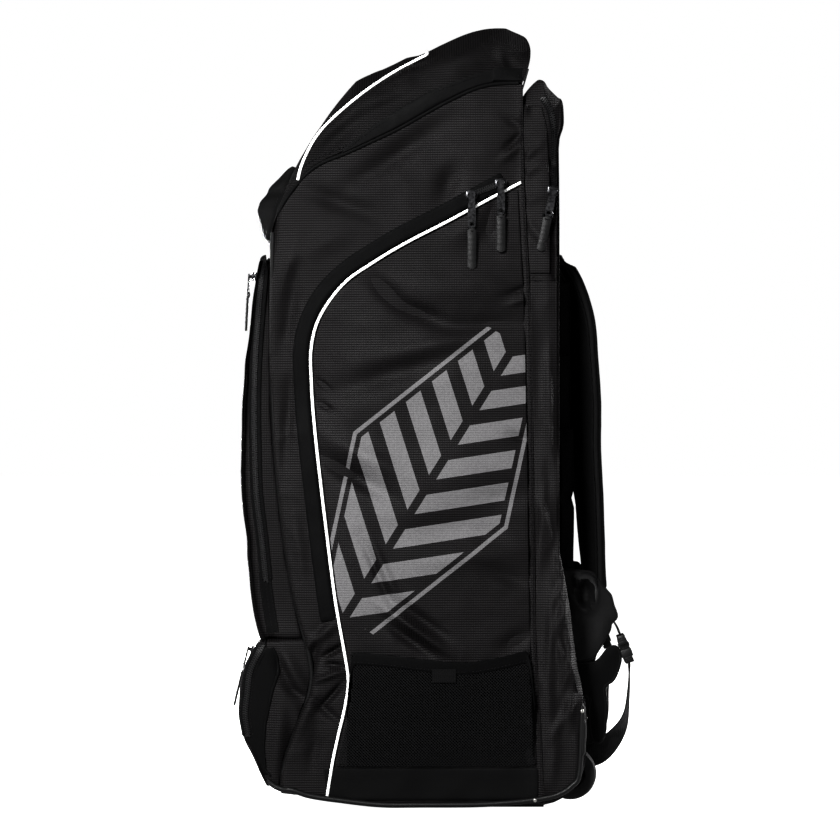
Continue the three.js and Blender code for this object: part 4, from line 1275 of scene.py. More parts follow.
@dataclass
class SoftShell(Assembly):
    """A sewn cloth piece: its solid, rounded and creased."""

    node: str
    finish: Finish
    levels: int = 2
    facing: Facing = Facing.SIDES
    folds: Sequence[Fold] = ()
    ripple: float = 0.5
    crease: float = 0.6
    swell: float = 0.0
    tight: float = 9.0
    shape: Callable[[np.ndarray], np.ndarray] | None = None
    edge: tuple[float, float] = (0.72, 0.16)
    waves: tuple[float, float, float, float] = (62.0, 44.0, 3.7, 0.45)
    wave_level: float = 1.1
    divided: float = 0.3

    def build(self) -> bpy.types.Object:
        """Makes the piece and puts it in place of its solid.

        Returns:
            The piece.
        """
        shape = self.frame.merged(self.node)
        bmesh.ops.join_triangles(shape, faces=shape.faces, angle_face_threshold=0.6,
                                 angle_shape_threshold=1.2)
        layer = shape.edges.layers.float.new("crease_edge")
        for edge in shape.edges:
            if len(edge.link_faces) == 2 and edge.calc_face_angle() > math.radians(SHARP_DEG):
                edge[layer] = self.crease
        mesh = bpy.data.meshes.new(self.node)
        shape.to_mesh(mesh)
        shape.free()
        fine = refined(mesh, self.levels, 4)
        self._divide(fine)
        self._press(fine)
        piece = settle(f"{self.node}_cloth", fine, self.finish, [self.node])
        self.frame.skins[self.node] = BVHTree.FromObject(piece, bpy.context.evaluated_depsgraph_get())
        return piece

    def _divide(self, mesh: bpy.types.Mesh) -> None:
        """Divides the cloth further where its folds are tight.

        Args:
            mesh: fine mesh of the piece.
        """
        tight = [fold for fold in self.folds if fold.across < self.tight]
        if self.facing is not Facing.SIDES or not tight:
            return
        shape = bmesh.new()
        shape.from_mesh(mesh)
        middles = np.array([tuple(face.calc_center_median()) for face in shape.faces]) / MM
        reach = sum(np.abs(fold.lift(middles[:, 1], middles[:, 2])) for fold in tight)
        outside = np.abs([face.normal.x for face in shape.faces]) > 0.5
        outside &= np.sign(middles[:, 0]) == np.sign([face.normal.x for face in shape.faces])
        faces = [face for face, near in zip(shape.faces, (reach > self.divided) & outside) if near]
        edges = list({edge for face in faces for edge in face.edges})
        bmesh.ops.subdivide_edges(shape, edges=edges, cuts=2, use_grid_fill=True, smooth=0.0)
        shape.to_mesh(mesh)
        shape.free()

    def _press(self, mesh: bpy.types.Mesh) -> None:
        """Pushes folds, ripples and swelling into the cloth.

        Args:
            mesh: fine mesh of the piece.
        """
        places, normals = corners_of(mesh), corners_of(mesh, "normal")
        if self.shape:
            places = self.shape(places / MM) * MM
        count = len(places)
        x, y, z = (places / MM).T
        if self.facing is Facing.SIDES:
            run, axis, sign = y, 0, np.sign(x)
            weight = grown(np.abs(x) / np.abs(x).max(), *self.edge)
        else:
            run, axis = x, 1
            sign = np.full(count, -1.0 if self.facing is Facing.FRONT else 1.0)
            weight = np.ones(count)
        lift = sum((fold.lift(run, z) for fold in self.folds), np.zeros(count))
        if self.ripple:
            long, high, place, slant = self.waves
            wave = [noise.ridged_multi_fractal(Vector((a / long, b / high, place)), 1.0, 2.1, 3, 1.0, 2.0)
                    - self.wave_level for a, b in zip(run + slant * z, z)]
            lift = lift + self.ripple * np.array(wave)
        places[:, axis] += sign * weight * lift * MM
        move_corners(mesh, places + self.swell * MM * normals)


@dataclass
class Body(Assembly):
    """Main compartment, lid, sleeve, gussets and the seams between them."""

    shell_folds: tuple[Fold, ...] = folded(
        (-32, 737, 56, 10, 34, -6.0), (-87, 685, 40, 10, -20, -6.0), (-110, 640, 30, 10, 30, 3.0),
        (32, 708, 22, 9, 65, -6.0), (68, 745, 46, 24, 20, 4.0), (107, 757, 15, 4.5, 45, -4.0),
        (103, 744, 15, 5, 40, 3.0), (108, 778, 14, 5, -30, -3.0), (-148, 560, 40, 8, 80, -3.0),
        (-152, 610, 40, 9, 70, 3.0), (-150, 440, 50, 7, 86, -2.5), (-138, 300, 40, 8, 98, 2.5),
        (-112, 196, 22, 6, 40, 4.5), (-98, 178, 18, 4, 30, -5.0), (-104, 150, 18, 4, 20, 4.5),
        (-100, 128, 20, 4, 48, -5.0), (-122, 168, 30, 6, 76, -5.0), (-97, 162, 14, 4, -10, -4.0),
        (-108, 112, 22, 5, -40, -4.0), (-128, 108, 26, 8, 66, 4.0), (-120, 66, 24, 8, 80, -3.5),
        (-45, 390, 80, 34, 90, -6.0), (98, 340, 110, 24, 90, -6.0), (30, 380, 190, 56, 90, -6.0))
    lid_folds: tuple[Fold, ...] = folded(
        (-30, 800, 50, 10, 28, -3.0), (46, 846, 44, 12, 22, 3.0), (-92, 762, 30, 9, 42, -3.0),
        (98, 852, 24, 8, -50, -4.0), (84, 868, 20, 8, -40, 3.0), (10, 832, 40, 9, 18, -2.5))
    sleeve_folds: tuple[Fold, ...] = folded(
        (132, 645, 16, 5, -60, -3.0), (142, 640, 16, 6, -64, 2.5), (138, 588, 10, 9, 0, -3.0),
        (136, 740, 18, 5, -36, -3.0), (144, 724, 18, 5, -40, 2.5), (134, 700, 14, 4, -24, -3.0),
        (140, 520, 40, 5, 84, -2.0), (148, 470, 40, 5, 94, 2.2), (136, 425, 24, 5, 60, -2.6),
        (146, 380, 44, 6, 80, -2.4), (140, 330, 26, 6, 110, 2.4), (150, 290, 30, 6, 70, -3.0))
    lid_fill: Line = (
        (-130, 0), (-110, 3), (-88, 6), (-74, 8.5), (-58, 4), (-42, 1), (-30, 1.5), (-15, 4), (0, 2), (22, 4),
        (68, 4.5), (84, 5.5), (100, 7), (118, 3))
    hood: Triple = (788.0, 24.0, 6.5)
    flap_top: Line = (
        (-88, 746), (-72, 759), (-52, 774), (-23, 793), (8, 811), (24, 818), (64, 833), (96, 840), (122, 840))
    flap_bend: tuple[float, float] = (112.0, 76.0)
    flap_lift: tuple[float, float] = (1.4 * MM, 2.0 * MM)
    flap_side: tuple[float, int] = (84.0, 44)
    flap_corner: tuple[float, float, int] = (8.0, 82.0, 9)
    flap_back: int = 12
    flap_tilt: float = 0.35
    flap_clear: float = 0.0035
    flap_rows: int = 9
    flap_sewn: int = 40
    mouth_span: tuple[float, float, int] = (0.112, -0.162, 36)
    mouth_heights: tuple[float, float] = (0.55, 0.86)
    welt_span: tuple[float, float, int] = (0.13, 0.79, 67)
    welt_search: Triple = (0.1, 0.15, 0.0005)
    panel_columns: int = 15
    panel_least: float = 0.15
    panel_rounds: int = 12
    panel_fade: float = 0.12
    panel_lift: float = 0.0016
    panel_hang: float = 0.012
    corner: tuple[tuple[float, float, float], ...] = (
        (14, 141, 160), (30, 140, 176), (55, 139, 181), (98, 137, 184), (122, 135, 185), (138, 134, 184),
        (161, 133, 178), (185, 132, 175), (208, 131, 172), (226, 131, 170), (262, 131, 164),
        (290, 130.5, 158), (400, 129, 158), (480, 127, 158), (540, 125.5, 158), (597, 124.5, 158))
    sleeve_side: tuple[tuple[float, float, float], ...] = (
        (606, 124.5, 147), (647, 121.8, 147), (711, 119, 147), (770, 117.5, 144), (797, 118.5, 138))
    corner_folds: tuple[Fold, ...] = folded(
        (160, 250, 14, 4, 60, 3.6), (166, 225, 16, 4, 74, 4.6), (157, 214, 16, 4, 80, 4.0),
        (170, 190, 18, 4, 100, 4.6), (160, 178, 20, 4, 96, 4.2), (176, 156, 18, 5, 112, 4.6),
        (166, 150, 18, 4, 70, 3.6), (148, 200, 40, 5, 88, 3.2), (146, 120, 40, 6, 92, 3.2),
        (170, 110, 26, 5, 84, 3.4), (158, 96, 24, 5, 60, 3.0), (178, 70, 22, 5, 100, 2.6),
        (152, 60, 30, 6, 84, 2.4), (138, 330, 44, 5, 86, 2.2), (150, 400, 50, 5, 94, 2.2))
    side_puckers: tuple[Fold, ...] = folded(
        (124, 742, 14, 4, 38, 3.0), (126, 724, 14, 4, 30, 2.4), (132, 650, 18, 5, -56, 2.6),
        (126, 690, 14, 4, 10, 2.0))

    @staticmethod
    def fill_foot(places: np.ndarray) -> np.ndarray:
        """Lets the front of the main compartment sag onto the base, in millimetres."""
        y, z = places[:, 1], places[:, 2]
        return shifted(places, z=-4.0 * grown(z, 60, -40) * grown(y, -118, -25))

    def fill_lid(self, places: np.ndarray) -> np.ndarray:
        """Fills the lid out above its seam.

        Args:
            places: corners in millimetres.

        Returns:
            The moved corners.
        """
        y, z = places[:, 1], places[:, 2]
        share = grown(z - 0.63 * (y + 168), 650, 70)
        return shifted(places, z=share * np.interp(y, *zip(*self.lid_fill)))

    def fill_sleeve(self, places: np.ndarray) -> np.ndarray:
        """Rounds the sleeve's top out towards the back.

        Args:
            places: corners in millimetres.

        Returns:
            The moved corners.
        """
        middle, reach, out = self.hood
        y, z = places[:, 1], places[:, 2]
        bump = np.exp(-(((z - middle) / reach) ** 4)) * grown(y, 128, 20)
        return shifted(places, y=out * bump, z=4.0 * grown(z, 795, 25))

    def build(self) -> None:
        """Makes the body's cloth and seams."""
        # The lid gets the darker copy of the ripstop, which is painted shade.
        for node, finish, creases, ripple, fill in (
                ("main_shell", RIPSTOP, self.shell_folds, 1.6, self.fill_foot),
                ("lid", SHADED_LID, self.lid_folds, 1.6, self.fill_lid),
                ("bat_sleeve", RIPSTOP, self.sleeve_folds, 1.2, self.fill_sleeve)):
            SoftShell(self.frame, node, finish, 3, folds=creases, ripple=ripple, shape=fill).build()
        self._storm_flap()
        for side in Side:
            SoftShell(self.frame, f"corner_gusset_{side.label}", RIPSTOP, 1, ripple=0.0, crease=0.9).build()
            self._panel(side, "corner_panel", self.corner, self.corner_folds, 118)
            self._panel(side, "sleeve_panel", self.sleeve_side, self.side_puckers, 44)
        self._lid_seam()
        self._sleeve_seams()

    def _storm_flap(self) -> None:
        """Lays the smooth band over the lid's zip, along both sides and round the back."""
        lid = self.frame.skin("lid")
        mouth = self.mouth(Side.RIGHT).points[::-1]
        bend_x, bend_y = self.flap_bend
        front, back = self.flap_top[0][0], self.flap_top[-1][0]
        stations = [((1.0, y * MM), (-1.0, 0.0), y) for y in np.linspace(front, *self.flap_side)]
        for turn in np.radians(np.linspace(*self.flap_corner)):
            x, y = math.cos(turn), math.sin(turn)
            stations.append(((bend_x * MM + x, bend_y * MM + y), (-x, -y), back))
        stations += [((x * MM, 1.0), (0.0, -1.0), back) for x in np.linspace(bend_x, 0, self.flap_back)]
        half = []
        for (x, y), (step_x, step_y), place in stations:
            low = np.interp(place * MM, mouth[:, 1], mouth[:, 2]) + self.flap_clear
            high = np.interp(place, *zip(*self.flap_top)) * MM
            lift = float(np.interp(place, (60, back), self.flap_lift))
            ahead = Vector((step_x, step_y, 0))
            facing = Vector((-step_x, -step_y, self.flap_tilt)).normalized()
            column: list[tuple[Vector, Vector]] = []
            for height in np.linspace(high, low, self.flap_rows):
                hit, _, _, _ = lid.ray_cast(Vector((x, y, height)), ahead)
                if hit:
                    column.append((hit + lift * facing, facing))
                elif column:
                    above = column[-1][0]
                    column.append((Vector((above.x, above.y, height)), facing))
            if len(column) < self.flap_rows:
                continue
            if step_y == 0.0:
                edge = np.interp(place * MM, mouth[:, 1], mouth[:, 0]) + self.flap_lift[0]
                slope = np.linspace(column[0][0].x, max(column[-1][0].x, edge), self.flap_rows)
                for (point, _), reach in zip(column, slope.tolist()):
                    point.x = max(point.x, reach)
            half.append(column[::-1])
        mirrored = [[(Vector((-p.x, p.y, p.z)), Vector((-f.x, f.y, f.z))) for p, f in column]
                    for column in half[-2::-1]]
        rows = list(zip(*[*half, *mirrored]))
        points, facings = ([[pair[i] for pair in row] for row in rows] for i in (0, 1))
        mesh = refined(slab(points, facings, thickness=0.0016), levels=1)
        settle("lid_storm_flap_cloth", mesh, LIT_ROLLED, ["lid_storm_flap"])
        row = Run.through(rows[-1]).moved(out=0.0012, across=0.0035)
        sides = (slice(0, self.flap_sewn), slice(-self.flap_sewn, None))
        sewn = [Run(row.points[part], row.facings[part]) for part in sides]
        self.frame.stitches("storm_flap_stitches", sewn)

    def _panel(self, side: Side, name: str, edges: Sequence[Triple], creases: Sequence[Fold],
               count: int) -> None:
        """Lays one piece of cloth over the back corner of a side.

        Args:
            side: side that gets the panel.
            name: name of the panel.
            edges: rows of a height and where the panel starts and ends there, in millimetres.
            creases: folds in the panel.
            count: number of rows.
        """
        table = np.array(edges) * MM
        heights = np.linspace(table[0, 0], table[-1, 0], count)
        low, high = (np.interp(heights, table[:, 0], table[:, i]) for i in (1, 2))
        shares = np.linspace(0, 1, self.panel_columns)
        under = ("bat_sleeve", "main_shell", f"corner_gusset_{side.label}")
        reach = np.zeros((len(heights), len(shares)))
        for i, z in enumerate(heights):
            for j, share in enumerate(shares):
                y = low[i] + share * (high[i] - low[i])
                hits = [self.frame.on_side(node, side, y, z) for node in under]
                reach[i, j] = max([abs(hit[0].x) for hit in hits if hit], default=0.0)
        reach[reach < self.panel_least] = np.median(reach)
        floor = reach.copy()
        for _ in range(self.panel_rounds):
            padded = np.pad(reach, 1, mode="edge")
            around = padded[:-2, 1:-1] + padded[2:, 1:-1] + padded[1:-1, :-2] + padded[1:-1, 2:]
            reach = np.maximum(around / 4, floor)
        z, y = np.meshgrid(heights, shares, indexing="ij")
        y = low[:, None] + y * (high - low)[:, None]
        fade = grown(np.minimum(shares, 1 - shares), 0, self.panel_fade)[None, :]
        creased = np.maximum(sum(fold.lift(y / MM, z / MM) for fold in creases) * MM * fade, -0.001)
        hang = self.panel_hang * (grown(y, 0.166, 0.018) * grown(z, 0.118, 0.02)) ** 2
        out = side.value * (reach + self.panel_lift + creased - hang)
        points = [[Vector(place) for place in zip(*row)] for row in zip(out, y, z)]
        mesh = slab(points, [[Vector((side.value, 0, 0))] * len(row) for row in points], thickness=0.0014)
        settle(f"{name}_{side.label}", refined(mesh, levels=1), RIPSTOP)

    def mouth(self, side: Side) -> Run:
        """Follows the mouth along one side, from the back to the front.

        Args:
            side: side that is followed.

        Returns:
            The run along the mouth's edge.
        """
        hits = []
        for y in np.linspace(*self.mouth_span):
            top = self.frame.top_edge("main_shell", side, y, *self.mouth_heights)
            point, facing = self.frame.on_side("main_shell", side, y, top - 0.002)
            hits.append((Vector((point.x, y, top)), facing))
        return Run.through(hits)

    def _lid_seam(self) -> None:
        """Sews the lid on: tape and a fine coil along the mouth."""
        for side in Side:
            run = self.mouth(side)
            run.points[:, 2] += 0.002
            soft = run.smooth(3)
            tape = ribbon(soft.moved(out=-0.0042), width=0.012, thickness=0.0016)
            settle(f"lid_seam_tape_{side.label}", tape, SMOOTH)
            self.frame.tube(f"lid_seam_cord_{side.label}", soft.moved(out=-0.0004), radius=0.0024,
                            finish=LIT_ROLLED)
            row = run.moved(out=0.0004, across=side.value * 0.008)
            self.frame.stitches(f"lid_seam_stitches_{side.label}", [row])

    def _sleeve_seams(self) -> None:
        """Sews the seams of the sleeve's sides: the upright one and the level one."""
        for side in Side:
            places = [(y, 0.6 + 0.1 * (0.135 - y)) for y in np.linspace(0.129, 0.1525, 7)]
            run = self.frame.side_run("bat_sleeve", side, places)
            tape = ribbon(run.moved(out=-0.0004), width=0.006, thickness=0.0014)
            settle(f"sleeve_seam_{side.label}", tape, RIPSTOP)
            rows = [run.moved(out=0.0008, across=across) for across in (-0.0016, 0.0042)]
            welt = self._welt(side)
            upright = welt.moved(out=0.0022, across=-side.value * 0.0042)
            self.frame.stitches(f"sleeve_stitches_{side.label}", [*rows, upright])

    def _welt(self, side: Side) -> Run:
        """Follows the upright seam between the main compartment and the sleeve.

        Args:
            side: side that is followed.

        Returns:
            The run over the seam, from the bottom up.
        """
        points = []
        across = np.arange(*self.welt_search)
        for z in np.linspace(*self.welt_span):
            shell, sleeve = (self.frame.side_run(node, side, [(y, z) for y in across]).points
                             for node in ("main_shell", "bat_sleeve"))
            gap = (shell[:, 1].max() + sleeve[:, 1].min()) / 2
            near = [group[np.abs(group[:, 1] - gap) < 0.007, 0] for group in (shell, sleeve)]
            reach = max(np.abs(group).max() for group in near)
            points.append((side.value * reach, gap + 0.0012, z))
        return Run.of(points, (side.value, 0, 0))


@dataclass
class Pockets(Assembly):
    """Front pocket, shoe pocket and the curved side pockets with their print."""

    front_folds: tuple[Fold, ...] = folded(
        (60, 480, 70, 14, 30, -2.4), (-50, 330, 80, 18, -24, -2.8), (10, 250, 60, 14, 12, 2.2),
        (-90, 540, 40, 12, 40, 2.0))
    shoe_folds: tuple[Fold, ...] = folded(
        (40, 110, 60, 12, 16, -2.2), (-70, 90, 50, 12, -22, 2.0))
    side_folds: tuple[Fold, ...] = folded(
        (81, 668, 26, 12, 70, -4.5), (-36, 584, 26, 9, -43, -6.0), (2, 560, 30, 9, -22, -6.5),
        (74, 547, 50, 10, 2, -5.0), (45, 590, 60, 20, 0, 5.5), (-28, 494, 70, 14, 18, -6.5),
        (14, 522, 60, 12, 14, 4.5), (-70, 374, 46, 9, -29, -7.5), (-60, 398, 46, 10, -26, 5.5),
        (97, 353, 34, 14, 5, -4.5), (45, 316, 70, 16, 3, -4.0), (60, 286, 60, 12, 6, 3.5),
        (-7, 205, 38, 5.5, -35, 5.5), (0, 216, 36, 7, -35, -4.5), (-15, 194, 36, 7, -35, -5.0),
        (-49, 269, 34, 4.5, -66, -3.5), (-40, 272, 34, 5, -66, 2.5), (97, 264, 30, 9, -20, -4.0),
        (108, 190, 18, 9, 30, -4.5), (-110, 480, 11, 3.6, -38, -3.0), (-107, 455, 11, 3.6, -30, -2.6),
        (112, 587, 15, 4, 20, -3.5), (114, 575, 15, 4, 18, 2.5), (112, 420, 15, 5, -16, -3.0),
        (60, 660, 40, 14, 30, 3.0))

    front_low: float = 194.0
    meet: float = 5.0
    foot: float = 9.0
    shoe_seam: Line = (
        (36, -170), (42, -176), (67, -178), (93, -176.5), (131, -168.5), (154, -161), (172, -163),
        (181, -168))
    shoe_creases: tuple[Fold, ...] = folded(
        (-152, 146, 24, 5, -62, -5.0), (-144, 152, 22, 6, -58, 4.0), (-141, 130, 16, 4, -30, -4.0),
        (-160, 90, 44, 8, 84, 3.0), (-148, 70, 40, 7, 78, -2.6), (-140, 100, 30, 6, 100, 2.6))

    def build(self) -> None:
        """Makes the pockets."""
        for node, creases, ripple, fill in (("front_pocket", self.front_folds, 1.0, self.lengthen),
                                            ("shoe_pocket", self.shoe_folds, 0.8, self.fill_shoe)):
            SoftShell(self.frame, node, RIPSTOP, 3, Facing.FRONT, creases, ripple, shape=fill).build()
        for side in Side:
            SoftShell(self.frame, f"side_pocket_{side.label}", PRINTED, 3, folds=self.side_folds, ripple=1.6,
                      crease=0.9).build()
            SoftShell(self.frame, f"side_zip_band_{side.label}", SMOOTH, 2, ripple=1.0, crease=0.9).build()
            self._base_band(side)
            self._shoe_gusset(side)

    def lengthen(self, places: np.ndarray) -> np.ndarray:
        """Draws the front pocket's lower end down to the pocket below it, in millimetres."""
        return shifted(places, z=-self.meet * grown(places[:, 2], self.front_low + 40, -40))

    def fill_shoe(self, places: np.ndarray) -> np.ndarray:
        """Draws the shoe pocket's top up to the front pocket, and its foot down to the base.

        Args:
            places: corners in millimetres.

        Returns:
            The moved corners.
        """
        x, y, z = places.T
        up = self.meet * grown(z, 150, 37)
        down = self.foot * grown(z, 50, -24) * grown(y, -178, 30)
        side = grown(np.abs(x), 130, 12) * np.sign(x)
        crease = sum(fold.lift(y, z) for fold in self.shoe_creases)
        return shifted(places, x=side * crease, z=up - down)

    def _shoe_gusset(self, side: Side) -> None:
        """Adds the smooth strip round the shoe pocket's zip, and the seam behind it.

        Args:
            side: side that gets the strip.
        """
        places = []
        for z in np.linspace(self.shoe_seam[0][0], self.shoe_seam[-1][0], 26):
            seam = float(np.interp(z, *zip(*self.shoe_seam)))
            front = next(y for y in np.arange(-204.0, seam, 0.5)
                         if self.frame.on_side("shoe_pocket", side, y * MM, z * MM))
            places.append([(y * MM, z * MM) for y in np.linspace(seam, min(front + 3.0, seam - 2.0), 9)])
        points = self.frame.patch(f"shoe_gusset_{side.label}", "shoe_pocket", side, places, lift=0.0003,
                                  thickness=0.0012, finish=SMOOTH)
        run = Run.of([row[0] for row in points], (side.value, 0, 0)).smooth(3)
        self.frame.tube(f"shoe_seam_{side.label}", run.moved(out=0.0008), radius=0.0016, finish=LIT_ROLLED,
                        sides=8)

    def _base_band(self, side: Side) -> None:
        """Adds the smooth band below the net pocket.

        Args:
            side: side that gets the band.
        """
        high = 0.0465
        places = [[(y, z) for y in np.linspace(-0.1095 + 0.12 * (high - z), 0.134, 32)]
                  for z in np.linspace(0.009, high, 6)]
        self.frame.patch(f"base_band_{side.label}", "main_shell", side, places, lift=0.0012, thickness=0.0016,
                         finish=LIT_ROLLED)


@dataclass
class Piping(Assembly):
    """White and black piping, smoothed along the solids' middle lines."""

    radius: float = 1.65 * MM
    black: float = 2.6 * MM
    reach: float = 8.0 * MM
    line_x: float = 0.14
    least_x: float = 0.05
    rounds: int = 12
    sunk: float = 0.4
    crossing: tuple[float, float, int] = (0.85, 0.0, 8)
    lid_line: Line = (
        (-139.5, 714.0), (-135.8, 729.0), (-127.6, 748.0), (-117.4, 765.0), (-103.0, 781.3), (-83.4, 799.0),
        (-59.4, 817.8), (-29.6, 837.4), (8.0, 857.4))

    def build(self) -> None:
        """Makes all piping."""
        jobs = [("lid_piping", WHITE)]
        for side in Side:
            jobs += [(f"side_piping_{side.label}", WHITE), (f"front_seam_piping_{side.label}", BLACK)]
        for node, finish in jobs:
            points = [np.array(point) for point in self.frame.middle(node)]
            if node.startswith("lid"):
                points = self._over_lid(self.frame.skin("lid"))
            if node.startswith("side"):
                points[0] = self._beyond(points[1], points[0])
                points[-1] = self._beyond(points[-2], points[-1])
            radius = self.black if finish is BLACK else self.radius
            self.frame.tube(f"{node}_cord", Run.of(points).smooth(4), radius, finish, [node], 12)

    def _over_lid(self, lid: BVHTree) -> list[np.ndarray]:
        """Lays the lid's piping up one side, over the top and down the other side.

        Args:
            lid: surface of the lid's cloth.

        Returns:
            Points from the right end to the left end.
        """
        line = Run.of([(self.line_x, y * MM, z * MM) for y, z in self.lid_line]).smooth(4).points
        eye = Vector(EYE)
        rays = [(Vector(point) - eye).normalized() for point in line]
        depths = []
        for point, ray in zip(line, rays):
            hit = lid.ray_cast(eye, ray)[0]
            hit = hit if hit and hit.x > self.least_x else lid.find_nearest(Vector(point))[0]
            depths.append((hit - eye).length)
        eased = np.array(depths)
        for _ in range(self.rounds):
            padded = np.pad(eased, 1, mode="edge")
            eased = np.minimum((padded[:-2] + padded[1:-1] + padded[2:]) / 3, depths)
        sunk = self.sunk * self.radius
        rise = [eye + (depth - sunk) * ray for depth, ray in zip(eased.tolist(), rays)]
        top = [lid.ray_cast(Vector((share * rise[-1].x, rise[-1].y, 2.0)), Vector((0, 0, -1)))[0]
               + Vector((0, 0, sunk)) for share in np.linspace(*self.crossing)]
        half = [np.array(point) for point in [*rise, *top]]
        return [*half, *[point * (-1, 1, 1) for point in half[-2::-1]]]

    def _beyond(self, last: np.ndarray, end: np.ndarray) -> np.ndarray:
        """Draws the end of a piping out to the next seam, away from the point before it."""
        return end + self.reach * ((end - last) / np.linalg.norm(end - last))


@dataclass
class NetPocket(Assembly):
    """Net pocket low on one side: knitted yarn, a bound top and sewn edges."""

    side: Side
    across: float = 3.5 * MM
    up: float = 3.5 * MM
    yarn: float = 0.46 * MM
    binding: float = 15.0 * MM
    margins: tuple[float, float] = (0.0125, 0.001)
    heights: tuple[float, float] = (0.12, 0.2)

    def build(self) -> None:
        """Makes the net, a near-black sheet behind it that paints the shade inside the pocket, and its bound
        top.
        """
        node = f"net_pocket_{self.side.label}"
        low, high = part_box(node)
        settle(f"{node}_yarn", self._yarn(node, low, high), NET, [node], smooth_deg=80.0)
        tops = [(y, self.frame.top_edge(node, self.side, y, *self.heights))
                for y in np.linspace(low.y + self.margins[0], high.y - self.margins[1], 40)]
        # Painted shade: a near-black sheet just behind the net darkens what shows through its holes.
        inside = [[(y, low.z + 0.002 + share * (top - low.z - 0.006)) for y, top in tops]
                  for share in np.linspace(0, 1, 12)]
        self.frame.patch(f"{node}_lining", node, self.side, inside, lift=-0.0032, thickness=0.0008,
                         finish=NET_PAINTED_SHADE, levels=0)
        strip = [[(y, top - share * self.binding) for y, top in tops] for share in (1.0, 0.66, 0.33, 0.06)]
        self.frame.patch(f"{node}_binding", node, self.side, strip, lift=-0.0004, thickness=0.0018,
                         finish=SMOOTH)
        seam = self.frame.side_run(node, self.side, [(y, top - 0.8 * self.binding) for y, top in tops])
        self.frame.stitches(f"{node}_stitches", [seam.moved(out=0.0016)])

    def _yarn(self, node: str, low: Vector, high: Vector) -> bpy.types.Mesh:
        """Knots the yarn into a net of small diamonds.

        Args:
            node: name of the net's solid.
            low: lowest corner of the solid.
            high: highest corner of the solid.

        Returns:
            The net.
        """
        columns = int((high.y - low.y) / (self.across / 2)) + 1
        levels = int((high.z - low.z) / (self.up / 2)) + 1
        points, numbers = [], {}
        for i in range(levels):
            for j in range(i % 2, columns, 2):
                y, z = low.y + j * self.across / 2, low.z + i * self.up / 2
                hit = self.frame.on_side(node, self.side, y, z)
                if hit:
                    numbers[i, j] = len(points)
                    points.append(hit[0] - Vector((self.side.value * self.yarn, 0, 0)))
        edges = [(number, numbers[i + 1, j + step]) for (i, j), number in numbers.items() for step in (-1, 1)
                 if (i + 1, j + step) in numbers]
        return self.frame.strands.make(points, edges, self.yarn, 3, NET)


# Zips


@dataclass
class Zip(Assembly):
    """A zip along a run: tape, two rows of teeth and stitches."""

    name: str
    run: Run
    tape: float = 20 * MM
    tape_thick: float = 0.0012
    pitch: float = 2.6 * MM
    tooth: Triple = (1.5 * MM, 3.4 * MM, 2.0 * MM)
    tooth_out: float = 0.0008
    tooth_across: float = 0.0013
    hem: float = 0.0015

    def build(self, replaced: Sequence[str] = ()) -> None:
        """Makes the zip.

        Args:
            replaced: solids that its teeth stand for.
        """
        fine = self.run.spaced(6 * MM)
        tape = ribbon(fine.moved(out=-self.tape_thick), self.tape, self.tape_thick)
        settle(f"{self.name}_tape", tape, SMOOTH)
        dense = self.run.spaced(self.pitch / 2)
        shares = [Run(dense.points[i::2], dense.facings[i::2]) for i in (0, 1)]
        sides = [share.moved(out=self.tooth_out, across=across)
                 for share, across in zip(shares, (-self.tooth_across, self.tooth_across))]
        teeth = self.frame.rows[Unit.TOOTH].make(sides, self.tooth, COIL)
        settle(f"{self.name}_teeth", teeth, COIL, replaced, smooth_deg=30.0)
        edge = 0.5 * self.tape - self.hem
        rows = [fine.moved(out=0.0003, across=across) for across in (-edge, edge)]
        self.frame.stitches(f"{self.name}_stitches", rows)


